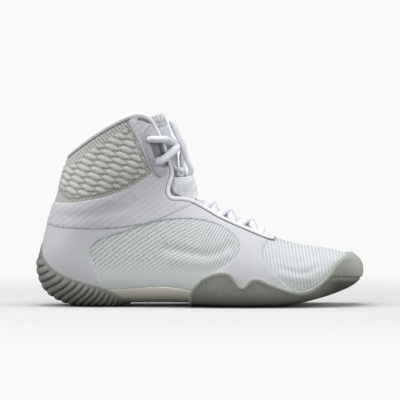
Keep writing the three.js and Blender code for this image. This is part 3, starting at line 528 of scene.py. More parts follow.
def round_heel_uv(stations, turns, points):
    """Round the heel from its back, and up."""
    around = arcs(points, 1, [0, 1])
    back = np.where(turns > 0.5, around - around[:, -1:], around)
    return back, points[..., 2]


fine_stations = np.concatenate([
    [0, 0.12, 0.25, 0.4, 0.55, 0.7, 0.85], np.linspace(1, 5, 44, endpoint=False),
    np.linspace(5, 12, 84, endpoint=False), np.linspace(12, 16, 36, endpoint=False), np.linspace(16, 20, 34),
])
fine_turns = np.linspace(0, 1, 181)


def cloth_edge(inside, width):
    """A layer's thickness near its cut edge, as a share: half at the edge and full a width inside it."""
    return 0.5 + 0.5 * smooth_step(inside / width)


upper_cloth = layer(
    "upper_mesh_cloth", fine_stations, fine_turns,
    lambda p: np.minimum.reduce([open_by(p), above_feather(p), clear_of_eyelets(p)]),
    lambda s, t, p, d: -wall_at(s),
    lambda s, t, p, d: relief(p),
    over_top_uv,
)


def in_object(tree):
    return node(tree, "TexCoord").outputs["Object"]


def separate(tree, place):
    return node(tree, "SeparateXYZ", {0: place}).outputs


def noise(tree, place, scale, detail):
    return node(tree, "TexNoise", {"Vector": place, "Scale": scale, "Detail": detail}).outputs[0]


def cosine(tree, place, spacing, axis):
    return maths(tree, "COSINE", times(tree, separate(tree, place)[axis], 2 * math.pi / spacing))


def ramp(tree, value, low, high, start=0, end=1):
    """From start, where a value is low, to end, where it is high."""
    return node(tree, "MapRange", {0: value, 1: low, 2: high, 3: start, 4: end}).outputs[0]


def between(tree, share, start, end):
    return node(tree, "Mix", {"Factor": share, 2: start, 3: end}, data_type="FLOAT").outputs[0]


def attribute(tree, name):
    return node(tree, "Attribute", attribute_name=name).outputs["Fac"]


def knitted_mesh(name, colour, shade, lining):
    """Knitted polyester mesh, matt and slightly soft. Over the toe it has upright ribs, over the front of the
    quarter slanting ribs, both with small cross stitches, behind that a net, and low at the quarter it is plain."""
    material, tree = new_material(name)
    place, spot = on_surface(tree), in_object(tree)
    x, z = separate(tree, spot)[0], separate(tree, spot)[2]
    # The net's strands stand 2.5 and 2.2 mm apart on the two slants, coarser than the real thread so that they show.
    slanted = turned(tree, place, (0, 0, 0.72), (1, 1, 0))
    net_sum = maths(tree, "ADD", cosine(tree, slanted, 0.0025, 0), cosine(tree, slanted, 0.0022, 1))
    net = ramp(tree, maths(tree, "MULTIPLY_ADD", noise(tree, place, 420, 2), -2.6, net_sum), 0.7, -1.9)
    # The quarter's ribs stand 2.5 mm apart, the toe's 3 mm and the stitches 2.1 mm.
    around, along = separate(tree, place)[0], times(tree, separate(tree, place)[1], 2 * math.pi / 0.0025)
    lean = maths(tree, "MULTIPLY_ADD", noise(tree, place, 90, 2), 2.2, along)
    quarter_rib = maths(tree, "SINE", maths(tree, "MULTIPLY_ADD", around, -1060, lean))
    toe_rib = cosine(tree, turned(tree, spot, (0, 0.12, 0)), 0.003, 0)
    rib = between(tree, ramp(tree, x, 0.05, 0.051), quarter_rib, toe_rib)
    stitch = maths(tree, "SINE", maths(tree, "MULTIPLY_ADD", lean, 0.5, times(tree, around, 2 * math.pi / 0.0021)))
    ribs = times(tree, ramp(tree, rib, -1, 1), ramp(tree, stitch, -1, 0.4, 0.25))
    knit = between(tree, ramp(tree, x, -0.004, 0.008), net, ramp(tree, ribs, 0, 0.5, 0.2))
    closed = times(tree, ramp(tree, z, 0.029, 0.043, 0.8, 0), ramp(tree, x, 0.045, 0.05, 1, 0))
    tone = between(tree, closed, knit, 0.9)
    gaps = times(tree, maths(tree, "SUBTRACT", 1, tone), ramp(tree, x, 0.045, 0.06, 1, 0.6))
    face = blend(tree, attribute(tree, "lining_side"), blend(tree, gaps, colour, shade), lining)
    return coated(material, tree, face, tone, 0.5, 0.0006, 0.85, 0.12)


dress(upper_cloth, knitted_mesh("knitted_polyester_mesh", "#dce1e2", "#99a09b", "#d5d8de"), "upper")

# Overlay film: a thin smooth skin fused over the mesh round the heel, along the throat and down the vamp.
# It leaves two windows of bare mesh, at the quarter and over the whole toe, and has fine slanting ribs.
film_thickness = 0.7
quarter_window = smooth_loop([
    (0.215, 0.07), (0.2, 0.122), (0.184, 0.19), (0.169, 0.255), (0.171, 0.3), (0.19, 0.332), (0.22, 0.353),
    (0.255, 0.372), (0.324, 0.41), (0.378, 0.435), (0.453, 0.447), (0.517, 0.436), (0.562, 0.41), (0.595, 0.375),
    (0.614, 0.339), (0.621, 0.302), (0.618, 0.27), (0.607, 0.247), (0.572, 0.2), (0.533, 0.16), (0.49, 0.1),
    (0.46, 0.04), (0.34, 0.02), (0.25, 0.03),
], 120)
toe_window = np.concatenate([
    smooth_line([
        (0.73, 0.362), (0.724, 0.351), (0.709, 0.337), (0.695, 0.307), (0.689, 0.275), (0.692, 0.249), (0.697, 0.228),
        (0.715, 0.183), (0.736, 0.145), (0.761, 0.106), (0.783, 0.07), (0.8, 0.03),
    ], 50),
    side_points([(0.8, -0.3), (1.3, -0.3), (1.3, 0.9), (0.73, 0.9)]),
])
ankle_patch = np.concatenate([
    smooth_line([
        (0.293, 1.02), (0.286, 0.97), (0.288, 0.93), (0.305, 0.875), (0.325, 0.8), (0.342, 0.724), (0.35, 0.687),
        (0.338, 0.666), (0.315, 0.642), (0.289, 0.613), (0.246, 0.582), (0.2, 0.558), (0.148, 0.54), (0.108, 0.53),
        (0.06, 0.53), (0, 0.535), (-0.1, 0.54),
    ], 70),
    side_points([(-0.1, 1.4), (0.293, 1.4)]),
])

eyestay_recess = smooth_loop([
    (0.345, 0.866), (0.375, 0.858), (0.4, 0.82), (0.412, 0.76), (0.4, 0.72), (0.3717, 0.722), (0.3605, 0.759),
    (0.35, 0.816),
], 60)


def on_film(points):
    bare = np.maximum.reduce([
        inside_by(outline, points) for outline in (quarter_window, toe_window, ankle_patch, eyestay_recess)
    ])
    return np.minimum.reduce([-bare, open_by(points), above_feather(points), clear_of_eyelets(points)])


film = layer(
    "overlay_film", fine_stations, fine_turns, on_film,
    lambda s, t, p, d: relief(p) - 0.3,
    lambda s, t, p, d: relief(p) + film_thickness * cloth_edge(d, 0.9),
    over_top_uv,
)


def ribbed_film(name, colour, shade, pitch, depth):
    """Fused polyurethane film: smooth, faintly glossy, embossed with ribs that slant up to the front. pitch is
    theirs in metres, and depth how sharp they are."""
    material, tree = new_material(name)
    place = in_object(tree)
    ribs = stripes(tree, turned(tree, place, (0, -0.95, 0)), pitch, 0.5, detail=1, detail_scale=0.4)
    tone = maths(tree, "MULTIPLY_ADD", ribs, 0.35, noise(tree, place, 26, 3))
    face = blend(tree, ramp(tree, tone, 0.3, 0.95), shade, colour)
    return coated(material, tree, face, ribs, depth, 0.0005, 0.68)


dress(film, ribbed_film("ribbed_polyurethane_film", "#d4d4d7", "#cdced1", 0.0018, 0.2))

# Ankle band: a second film layer over the first, from the heel's back to the throat.
# Its lower edge is the raised seam that runs round the ankle.
seam = np.concatenate([
    smooth_line([
        (-0.05, 0.425), (0.0, 0.42), (0.044, 0.413), (0.071, 0.402), (0.151, 0.395), (0.206, 0.395), (0.255, 0.4),
        (0.301, 0.411), (0.345, 0.426), (0.393, 0.455), (0.439, 0.491), (0.475, 0.522), (0.5, 0.56),
    ], 60),
    side_points([(0.5, 1.4), (-0.1, 1.4), (-0.1, 0.425)]),
])
band_thickness = 0.6


def on_band(points):
    return np.minimum(on_film(points), inside_by(seam, points))


band = layer(
    "ankle_band", fine_stations[fine_stations > 9], fine_turns, on_band,
    lambda s, t, p, d: relief(p) + film_thickness - 0.2,
    lambda s, t, p, d: relief(p) + film_thickness + band_thickness * cloth_edge(d, 1.2),
    over_top_uv,
)
dress(band, ribbed_film("smooth_polyurethane_film", "#d3d3d6", "#c9cacd", 0.0046, 0.22))

# Ankle knit: a padded knit patch on both sides of the ankle and round its back, with rows of raised scales.
# The scales are nearly 20 mm long, lean towards the sole, and stop short of a perforated border.
scale_length = 19.6
scale_width = 5.6
scale_height = 1.5
scale_lean = 0.25
next_scale = np.array([17, -2.3])
next_row = np.array([-1.6, -5.2])


def scale_cover(points, around, inside):
    """How far the scales stand up at points, as a share; around is the distance round the ankle from its back."""
    here = np.stack([np.abs(around), points[..., 2]], axis=-1)
    cell = np.round(here @ np.linalg.inv(np.array([next_scale, next_row])))
    cover = np.zeros(here.shape[:-1])
    for i in (-1, 0, 1):
        for j in (-1, 0, 1):
            centre = (cell[..., :1] + i) * next_scale + (cell[..., 1:] + j) * next_row
            along, down = np.moveaxis(here - centre, -1, 0)
            part = 2 * along / scale_length
            taper = 1 - 0.62 * np.clip(part, 0, 1) ** 1.4 - 0.3 * np.clip(-part, 0, 1) ** 2
            across = 2 * (down + scale_lean * along) / (scale_width * taper)
            dome = 1 - np.abs(part) ** 4 - np.abs(across) ** 2.2
            cover = np.maximum(cover, np.clip(dome, 0, 1) ** 0.55 * (0.82 - 0.18 * part - 0.12 * across))
    return np.clip(cover, 0, 1) * inside


def on_ankle(points):
    return np.minimum.reduce([inside_by(ankle_patch, points) + 0.4, open_by(points), clear_of_eyelets(points)])


def round_ankle(station, turn):
    """Distance round the ankle from its back, outer side positive, read from a grid of levels and steps."""
    levels, steps = np.linspace(15, 20, 26), np.linspace(0, 0.5, 120)
    is_inner = turn % 1 > 0.5
    f = np.clip((station - levels[0]) / (levels[1] - levels[0]), 0, len(levels) - 1.001)
    k = np.clip(np.where(is_inner, 1 - turn % 1, turn % 1) * 2 * (len(steps) - 1), 0, len(steps) - 1.001)
    i, j = f.astype(int), k.astype(int)
    f, k = f - i, k - j
    sides = []
    for side in (steps, 1 - steps):
        around = arcs(form_points(levels[:, None], side[None, :]), 1, [0, 1])
        sides.append((around[i, j] * (1 - k) + around[i, j + 1] * k) * (1 - f)
                     + (around[i + 1, j] * (1 - k) + around[i + 1, j + 1] * k) * f)
    return np.where(is_inner, -sides[1], sides[0])


def ankle_scales(station, turn, points):
    low_corner = smooth_step((points[..., 0] + 1.1 * (points[..., 2] - 85) - 38) / 16)
    border = smooth_step((inside_by(ankle_patch, points) - 2.2) / 3) * smooth_step((open_by(points) - 7.5) / 2.5)
    return scale_cover(points, round_ankle(station, turn), border * low_corner)


def ankle_top(station, turn, points, depth):
    return relief(points) + 0.55 * cloth_edge(depth, 1) + scale_height * ankle_scales(station, turn, points)


ankle = layer(
    "ankle_knit", np.linspace(15.3, 20, 128), np.linspace(-0.39, 0.39, 250), on_ankle,
    lambda s, t, p, d: relief(p) - 0.3, ankle_top,
    lambda s, t, p: (round_ankle(s, t), p[..., 2]),
    marks=lambda s, t, p, d: {
        "scale": ankle_scales(s, t, p),
        "from_front": np.where(p[..., 0] > 70, inside_by(ankle_patch, p), 20),
    },
)


def cells(tree, place, scale):
    return node(tree, "TexVoronoi", {"Vector": place, "Scale": scale}, feature="F1").outputs["Distance"]


def perforated_knit(name, colour, shade, hole, spacing):
    """Spacer knit: soft matt white scales with painted shade at their feet and on the low ground between them, small
    dark eyelets between the yarns of the lower ground and a darker stitched column along its front edge. spacing is the
    eyelets' in metres."""
    material, tree = new_material(name)
    place = on_surface(tree)
    slanted = turned(tree, place, (0, 0, 0.62), (1, 1, 0))
    pit = ramp(tree, maths(tree, "ADD", *(cosine(tree, slanted, spacing, axis) for axis in (0, 1))), 0.7, 1.3)
    raised, front = attribute(tree, "scale"), attribute(tree, "from_front")
    # Painted shade: the shade colour fills the scales' feet, and a quarter of it covers the low ground between them.
    low = times(tree, ramp(tree, raised, 0.3, 0.72, 1, 0), ramp(tree, raised, 0.02, 0.12, 0.25))
    holes = times(tree, pit, ramp(tree, raised, 0.1, 0.45, 1, 0))
    column = times(tree, ramp(tree, front, 0.8, 1.4), ramp(tree, front, 3.4, 4, 1, 0))
    sewn = times(tree, column, ramp(tree, cells(tree, place, 620), 0.45, 0.3))
    dark = maths(tree, "MAXIMUM", holes, sewn)
    face = blend(tree, dark, blend(tree, low, colour, shade), hole)
    return coated(material, tree, face, times(tree, dark, -1), 0.6, 0.0006, 0.88, 0.15)


# The second colour is the painted shade round the scales.
dress(ankle, perforated_knit("perforated_spacer_knit", "#d3d3ce", "#b0b1ab", "#777c73", 0.0026))

# Bindings: a round piping of folded knit sewn over the cut edge of the collar and of the throat.
# Both run in the middle of the wall, just off its edge, with a grey line of painted shadow in the groove below them,
# and a wider grey band of painted shadow at the collar's front.
binding_width = 4.5
throat_start = 6.04
throat_top = 19.3
binding_break = 13.3
binding_seat = 1.2
binding_rise = 0.6
shadow_line_width = 1.1
shadow_line_place = 1.25
shadow_line_sink = 0.15
shadow_band_place = 2.4
shadow_band_width = 3
shadow_band_end = 16.6
shadow_band_rise = 1.1
halvings = 26
lace_thin = 3.4


def is_open(station, turn):
    return inside_by(opening, form_points(station, turn)) > 0


def halved(low, high, is_below):
    """Closes the span from low to high on the place where is_below turns false."""
    for _ in range(halvings):
        middle = (low + high) / 2
        below = is_below(middle)
        low, high = np.where(below, middle, low), np.where(below, high, middle)
    return high


def throat_reach(station, is_outer):
    """How far the throat's edge lies across from the last's high line."""
    sign = -1 if is_outer else 1
    return halved(np.zeros(len(station)), np.full(len(station), collar_width / 2),
                  lambda distance: is_open(station, turn_across(station, sign * distance)))


def collar_station(turn):
    """The station of the collar's edge at each turn."""
    return halved(np.full(len(turn), 16.0), np.full(len(turn), float(last_station)), lambda s: ~is_open(s, turn))


def edge_places(is_outer):
    """Stations and turns along the opening's edge, from the collar's back to the vamp, down one side."""
    sign = -1 if is_outer else 1
    shares = np.linspace(0, 0.348, 40)
    collar_turn = shares if is_outer else 1 - shares
    throat_station = np.linspace(throat_top - 0.15, throat_start + 0.06, 110)
    throat_turn = turn_across(throat_station, sign * throat_reach(throat_station, is_outer))
    return (np.concatenate([collar_station(collar_turn), throat_station]),
            np.concatenate([collar_turn, throat_turn]))


def edge_line(station, turn, rise, outward):
    """A line along the opening's edge, a rise over the last and so far out from the cut."""
    edge = skin_points(station, turn, rise)
    return edge + unit(np.cross(form_normals(station, turn), np.gradient(edge, axis=0))) * outward


outer_edge, inner_edge = edge_places(True), edge_places(False)
over, under = (outer_edge[0] > binding_break - 0.05), (inner_edge[0] > binding_break - 0.05)
collar_path = [np.concatenate([inner_edge[k][under][:0:-1], outer_edge[k][over]]) for k in (0, 1)]
below, beneath = (outer_edge[0] < binding_break), (inner_edge[0] < binding_break)
throat_path = [
    np.concatenate([outer_edge[k][below], [(throat_start, 0.5)[k]], inner_edge[k][beneath][::-1]]) for k in (0, 1)
]


def folded_knit(name, colour, shade, pitch):
    """Folded knit tape: fine ribs across the piping, matt with a soft sheen. pitch is theirs in metres."""
    material, tree = new_material(name)
    place = on_surface(tree)
    ribs = stripes(tree, place, pitch, 0.6, "Y", 1)
    face = blend(tree, noise(tree, place, 60, 2), shade, colour)
    return coated(material, tree, face, ribs, 0.3, 0.0003, 0.75, 0.2)


tape = folded_knit("folded_knit_tape", "#fbfbfd", "#f0f0f3", 0.0009)
# Painted shadow: a grey material for the groove below each piping and for the band at the collar's front.
shadow_paint = folded_knit("painted_shadow_thread", "#8f9095", "#7d7e84", 0.0006)
for name, solid, path, steps in (
    ("collar_piping", "collar_binding", collar_path, 260), ("throat_piping", "throat_binding", throat_path, 200),
):
    middle = edge_line(*path, binding_rise - wall_at(path[0]) / 2, binding_seat)
    dress(swept(name, smooth_path(middle, steps), binding_width, sides=14), tape, solid)
    # A thin grey tube of painted shadow along the groove below the piping.
    sewn = edge_line(*path, shadow_line_sink, -shadow_line_place)
    dress(swept(name + "_groove_shadow", smooth_path(sewn, steps), shadow_line_width, sides=8), shadow_paint)

# At the collar's front, a wider grey band of painted shadow on the cloth beside the piping.
for side, edge, order in (("outer", outer_edge, 1), ("inner", inner_edge, -1)):
    at_front = (np.arange(len(edge[0])) > 34) & (edge[0] > shadow_band_end)
    path = [values[at_front][::order] for values in edge]
    line = smooth_path(edge_line(*path, shadow_band_rise, -shadow_band_place), 60)
    dress(swept("collar_shadow_band_" + side, line, shadow_line_width, shadow_band_width, 12), shadow_paint)

# Eyestays: a moulded oval rim welded on each side of the ankle round its two lace eyelets, with a soft recess inside.
eyestay_loop = smooth_loop([
    (0.344, 0.948), (0.364, 0.924), (0.378, 0.855), (0.396, 0.76), (0.402, 0.708), (0.393, 0.671), (0.375, 0.66),
    (0.356, 0.681), (0.341, 0.75), (0.324, 0.84), (0.32, 0.903),
], 90)
eyestay_height = 1.5
frame_groove = 3.2


def on_eyestay(points):
    within = inside_by(eyestay_loop, points)
    return np.minimum(within, clear_of_eyelets(points) - 0.2)


def in_recess(points):
    return smooth_step((inside_by(eyestay_recess, points) + 0.9) / 1.9)


def frame_shade(points):
    """Painted shade in the moulded groove inside the frame's edge."""
    return 0.28 * ridge(inside_by(eyestay_loop, points), frame_groove, 0.9)


def eyestay_top(station, turn, points, depth):
    within = inside_by(eyestay_loop, points)
    contour = 0.45 * ridge(within, frame_groove, 0.7)
    rim = smooth_step(within / 1.6) * (1 - in_recess(points))
    return relief(points) + 0.2 + (eyestay_height + 1 - contour) * rim


def moulded_film(name, colour, inside, roughness):
    """Moulded polyurethane: smooth and softly glossy, with a faint skin texture, and painted shade in the recess."""
    material, tree = new_material(name)
    grain = noise(tree, in_object(tree), 1500, 2)
    face = blend(tree, attribute(tree, "recess"), colour, inside)
    return coated(material, tree, face, grain, 0.12, 0.0002, roughness)


# The grey second colour is painted shade in the recess and in the frame's groove.
eyestay_finish = moulded_film("moulded_polyurethane", "#c6c6cb", "#8d8e95", 0.42)
for side, turns in (("outer", np.linspace(0.2, 0.48, 120)), ("inner", np.linspace(0.52, 0.8, 120))):
    eyestay = layer(
        "eyestay_" + side + "_rim", np.linspace(12.5, 20, 130), turns, on_eyestay,
        lambda s, t, p, d: relief(p) - 0.2, eyestay_top, over_top_uv,
        marks=lambda s, t, p, d: {"recess": np.maximum(in_recess(p), frame_shade(p))},
    )
    dress(eyestay, eyestay_finish, "eyestay_" + side)

# Tongue: a padded knit flap under the throat, from below the vamp to above the collar.
# It swells a little between the throat's edges, and its top end is thick and rounded.
tongue_start = 5.2
tongue_end = 19.32
tongue_half = 25
tongue_bulge = 6
tongue_front = 2.4
tongue_puff = 2.4
pad_drop = 1.9
tongue_thin = 4
tongue_thick = 8.5
binding_solid = 3.6
tongue_seat = -(upper_wall + binding_solid) / 2 - lace_thin - 5 * fit_gap
seat_clearance = binding_solid / 2 + 2.5 * fit_gap
reach_stations = np.linspace(tongue_start - 0.5, tongue_end + 0.5, 400)
clear_table = {}
for is_outer in (True, False):
    shut = ~is_open(reach_stations, np.full(len(reach_stations), 0.5))
    reach = np.maximum(throat_reach(reach_stations, is_outer) - seat_clearance, 0)
    clear_table[is_outer] = np.where(shut, 0, reach)


def clear_reach(station, is_outer):
    return np.where(is_outer, np.interp(station, reach_stations, clear_table[True]),
                    np.interp(station, reach_stations, clear_table[False]))


def pad_share(station):
    return smooth_step((np.asarray(station) - 15) / 3)


def tongue_top(station, distance):
    """Offset of the tongue's top from the last."""
    reach = clear_reach(station, distance < 0)
    share = np.where(reach > 0, np.minimum(np.abs(distance) / np.maximum(reach, 1e-6), 1), 1)
    swell = tongue_bulge * smooth_step((station - throat_start - 0.1) / 0.7) * (1 - share**2) ** 2
    return tongue_seat - pad_drop * pad_share(station) + swell


def strip(name, stations, across, half_width, top, bottom, station_at=lambda station, share: station):
    """A closed strip along the last's high line; half_width, top and bottom take a station and distance across.

    station_at moves a station along where the strip's ends are curved.
    """
    grid_s, share = np.meshgrid(stations, across, indexing="ij")
    grid_s = station_at(grid_s, share)
    distance = share * half_width(grid_s, share < 0)
    turns = turn_across(grid_s, distance)
    sides = [skin_points(grid_s, turns, offset(grid_s, distance)) for offset in (top, bottom)]
    count = grid_s.size
    grid = np.arange(count).reshape(grid_s.shape)
    quads = quads_of(grid)
    ring = [*grid[:, 0], *grid[-1, 1:], *grid[-2::-1, -1], *grid[0, -2::-1]]
    rim = [(p, q, q + count, p + count) for p, q in zip(ring[:-1], ring[1:])]
    uv = np.tile(np.stack([distance, arcs(sides[0], 0, [0, 1, 2])], axis=-1).reshape(-1, 2), (2, 1)) / 1000
    return mesh_piece(name, in_metres(np.reshape(sides, (-1, 3))), [*quads, *(quads[:, ::-1] + count), *rim], uv,
                      {"station": np.tile(grid_s.ravel(), 2)})


def tongue_half_width(station, is_outer):
    rounded_top = np.sqrt(np.clip(1 - ((station - tongue_end + 0.55) / 0.62) ** 2, 0.05, 1))
    narrow = np.where(station > tongue_end - 0.55, 0.72 + 0.28 * rounded_top, 1)
    return tongue_half * (0.85 + 0.15 * smooth_step((station - tongue_start) / 4.8)) * narrow


def end_round(station):
    return 2.6 * np.clip((station - tongue_end + 0.3) / 0.3, 0, 1) ** 2.5


def tongue_upper_face(station, distance):
    """The top, with a rounded end and a seam below the padded end."""
    seam = 0.9 * ridge(station, tongue_end - 0.75, 0.05)
    share = np.clip(np.abs(distance) / np.maximum(clear_reach(station, distance < 0), 1), 0, 1)
    high = tongue_front * smooth_step((station - 14.2) / 2) * np.clip(1.5 - share**2, 0, 1)
    laced = smooth_step((station - 6.2) / 0.4) * (1 - smooth_step((station - 9.5) / 0.4))
    return tongue_top(station, distance) - end_round(station) - seam + high + tongue_puff * laced * (1 - share**6)


def tongue_lower_face(station, distance):
    full = tongue_thin + (tongue_thick - tongue_thin) * pad_share(station)
    thin = 1 - 0.55 * np.abs(distance / tongue_half_width(station, distance < 0)) ** 3
    return tongue_top(station, distance) - full * thin + end_round(station)


tongue_across = np.sin(np.linspace(-np.pi / 2, np.pi / 2, 61))
tongue_along = np.concatenate([np.linspace(tongue_start, 18, 130, endpoint=False), np.linspace(18, tongue_end, 46)])
tongue = strip(
    "tongue_pad", tongue_along, tongue_across, tongue_half_width, tongue_upper_face, tongue_lower_face,
)


def tongue_knit(name, colour, shade, top_colour, pitch):
    """Brushed spacer knit, soft and matt; the padded end shows open darker stitches. pitch is in metres."""
    material, tree = new_material(name)
    part = ramp(tree, cells(tree, on_surface(tree), 1 / pitch), 0.2, 0.75)
    end = ramp(tree, attribute(tree, "station"), tongue_end - 0.72, tongue_end - 0.66)
    face = blend(tree, end, blend(tree, part, colour, shade), blend(tree, part, colour, top_colour))
    return coated(material, tree, face, times(tree, part, -1), 0.5, 0.0006, 0.88, 0.2)


dress(tongue, tongue_knit("brushed_spacer_knit", "#dfe1e7", "#ccd0d7", "#a9adb2", 0.0019), "tongue")

# Insole: a flat board of foam under a knit cover, inside the wall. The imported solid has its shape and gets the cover.
insole_cover = tongue_knit("insole_knit_cover", "#d9dbe0", "#c6c9d0", "#c6c9d0", 0.0016)
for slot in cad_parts["insole"].material_slots:
    slot.material = insole_cover

# Throat lace: a bar at the vamp and crossings up to the ankle, of woven polyester, pressed flat on the tongue.
# Its ends turn under the piping.
lace_rows = [6.6, 7.75, 8.75, 9.5]
lace_tuck = 1.5
flat_width = 2.3
flat_thick = 1.5


def throat_strand(name, start, end, starts_outer, lift):
    share = np.linspace(0, 1, 33)
    station = start + (end - start) * share
    is_outer_half = (share < 0.5) == starts_outer
    reach = clear_reach(station, is_outer_half) + lace_tuck
    distance = np.abs(1 - 2 * share) * reach * np.where(is_outer_half, -1, 1)
    slope = tongue_top(station, distance + 0.5) - tongue_top(station, distance - 0.5)
    rise = lift * (1 - (1 - 2 * share) ** 6)
    height = tongue_top(station, distance) + (0.75 * lace_thin + 1.5 * fit_gap) * np.hypot(1, slope) + rise
    path = skin_points(station, turn_across(station, distance), height)
    strand = swept(name, smooth_path(path, 44), flat_width * lace_thin, flat_thick * lace_thin)
    dress(strand, lace_cloth, "lace_throat")


throat_strand("throat_lace_bar", lace_rows[0], lace_rows[0], True, lace_thin / 3)
for i in range(len(lace_rows) - 1):
    throat_strand("throat_lace_under_%d" % (i + 1), lace_rows[i], lace_rows[i + 1], True, 0)
    throat_strand("throat_lace_over_%d" % (i + 1), lace_rows[i], lace_rows[i + 1], False, 0.3 * lace_thin)

# Ankle lace: two round strands from the eyelets over the eyestays, crossing in front of the tongue.
# Their hidden ends stop inside the eyelets.
ankle_bulge = 3.4
ankle_sag = 0.3
ankle_lift = 1.4
ankle_bend = 0.2
strand_width = 1.7
strand_thick = 1.35


def place_of(x, z):
    """The station and turn, outer side, at which the last lies at x and z seen from the side."""
    def seen_at(station):
        s = passage(form_table, station)
        return s, s[2:4] - s[0:2], (x, z) - s[0:2]

    def is_before(station):
        span, to = seen_at(station)[1:]
        return span[0] * to[1] - span[1] * to[0] >= 0

    station = float(halved(0.0, float(last_station), is_before))
    s, span, to = seen_at(station)
    along = min(max(to @ span / (span @ span), 0), 1)
    is_low = along < s[8]
    reach = 1 - along / s[8] if is_low else (along - s[8]) / (1 - s[8])
    angle = math.acos(reach ** ((s[9] if is_low else s[10]) / 2)) / (2 * math.pi)
    return station, angle if is_low else 0.5 - angle


def ankle_strand(name, start, end, starts_outer, bulge):
    proud = lace_width / 2 + eyestay_height + 3 * fit_gap
    (s0, t0), (s1, t1) = (place_of(*side_points([eyelet_places[k]])[0]) for k in (start, end))
    t0, t1 = (t0, 1 - t1) if starts_outer else (1 - t0, t1)

    def at(share, offset):
        station = s0 + (s1 - s0) * share - ankle_sag * 4 * share * (1 - share)
        return skin_points(station, t0 + (t1 - t0) * share, offset)

    left, right = at(ankle_bend, proud), at(1 - ankle_bend, proud)
    front = [left + (right - left) * q + np.array([bulge * 4 * q * (1 - q), 0, 0]) for q in np.linspace(0, 1, 7)]
    rise = [(0, -upper_wall - 1.6), (0, -0.4), (ankle_bend / 8, 0.75 * proud), (ankle_bend / 2.5, proud)]
    first = [at(share, offset) for share, offset in rise]
    final = [at(1 - share, offset) for share, offset in reversed(rise)]
    path = smooth_path(first + front + final, 90)
    strand = swept(name, path, strand_width * lace_width, strand_thick * lace_width, 18)
    dress(strand, lace_cloth, "lace_ankle")


ankle_strand("ankle_lace_under", 0, 1, True, ankle_bulge)
ankle_strand("ankle_lace_over", 0, 1, False, ankle_bulge + ankle_lift)

# Lace keeper: a gathered pocket of thin stretch cloth across the tongue at the ankle's bend, which holds the knot.
# Its folds fan from the closed lower end, and its mouth has a rolled edge.
keeper_start = 10.1
keeper_end = 11.9
keeper_thickness = 1.2
keeper_bulge = 7.4
keeper_hem = 0.2
keeper_mouth = 0.72
keeper_rise = 1.6


def keeper_half_width(station, is_outer):
    return clear_reach(station, is_outer) - seat_clearance


def keeper_stretch(share):
    return (keeper_end - keeper_start + keeper_rise * np.abs(share) ** 1.5) / (keeper_end - keeper_start)


def keeper_top(station, distance):
    share = distance / np.maximum(keeper_half_width(station, distance < 0), 1e-6)
    lengthwise = (station - keeper_start) / (keeper_end - keeper_start) / keeper_stretch(np.clip(share, -1, 1))
    lean = keeper_hem + (1 - keeper_hem) * np.sin(np.pi * keeper_mouth * np.clip(lengthwise, 0, 1))
    fan = np.arctan2(lengthwise + 0.12, share + 1.15)
    folds = 0.75 * np.sin(17 * fan + 1) + 0.3 * np.sin(31 * fan)
    base = tongue_top(station, distance) + 4 * fit_gap + keeper_thickness
    swell = np.clip(1 - share**2, 0, 1) ** 1.2
    rolled = 0.7 * ridge(lengthwise, 0.94, 0.05)
    return base + (keeper_bulge * lean + rolled) * swell + folds * swell * (0.3 + 0.7 * lengthwise)


keeper = strip(
    "lace_keeper_pocket", np.linspace(keeper_start, keeper_end, 40), np.linspace(-1, 1, 81),
    keeper_half_width, keeper_top, lambda s, distance: keeper_top(s, distance) - keeper_thickness,
    lambda station, share: keeper_start + (station - keeper_start) * keeper_stretch(share),
)


def stretch_cloth(name, colour, shade):
    """Thin stretch cloth, gathered: soft shiny threads, a little darker in random patches."""
    material, tree = new_material(name)
    patch = noise(tree, on_surface(tree), 240, 3)
    face = blend(tree, ramp(tree, patch, 0.35, 0.6), shade, colour)
    return coated(material, tree, face, patch, 0.5, 0.0008, 0.5, 0.7)


dress(keeper, stretch_cloth("gathered_stretch_cloth", "#fdfeff", "#eceff6"), "lace_keeper")

# Lace knot: the lace's end comes from under the lower ankle strand and is knotted just above the keeper, a little to
# the outer side of the tongue's middle.
knot_station = 13.2
knot_size = (7, 10, 9)
knot_aside = 5.6
knot_lace = 3.8


def on_tongue(station, distance, rise):
    """A point that stands a rise above the tongue."""
    distance = np.array(float(distance))
    return skin_points(station, turn_across(station, distance), tongue_top(station, distance) + rise)


knot_centre = on_tongue(knot_station, -knot_aside, 2 * fit_gap + knot_size[0] / 2)
knot_turn = np.linspace(0.35, 2 * np.pi - 0.35, 70)
knot_turns = knot_centre + np.stack([
    -0.5 * (knot_size[0] - knot_lace) * np.sin(3 * knot_turn),
    0.2 * (knot_size[1] - knot_lace) * (np.sin(knot_turn) + 2 * np.sin(2 * knot_turn)),
    0.22 * (knot_size[2] - knot_lace) * (np.cos(knot_turn) - 2 * np.cos(2 * knot_turn)),
], axis=1)
knot_tail = [
    on_tongue(station, distance, 3) for station, distance in ((15.2, -8.8), (14.7, -8.4), (14.3, -7.9), (13.9, -7.2))
]
knot_path = smooth_path(knot_tail + list(knot_turns[::4]), 110)
knot = swept("lace_knot_turns", knot_path, knot_lace, sides=12)
dress(knot, lace_cloth, "lace_knot")

# Midsole: one bed of translucent cream foam from heel to toe, seen only at the arch between the two rubbers.
midsole_proud = 0.5


def bed_offset(station):
    return midsole_proud * smooth_step((station - 8) / 2) * smooth_step((12 - station) / 2)


def below_feather(points):
    return -above_feather(points, -0.15)


midsole = layer(
    "midsole_foam", fine_stations[fine_stations < 16.5], fine_turns, below_feather,
    lambda s, t, p, d: bed_offset(s) - 5 * cloth_edge(d, 2),
    lambda s, t, p, d: bed_offset(s) * cloth_edge(d, 1.5),
    over_top_uv,
)


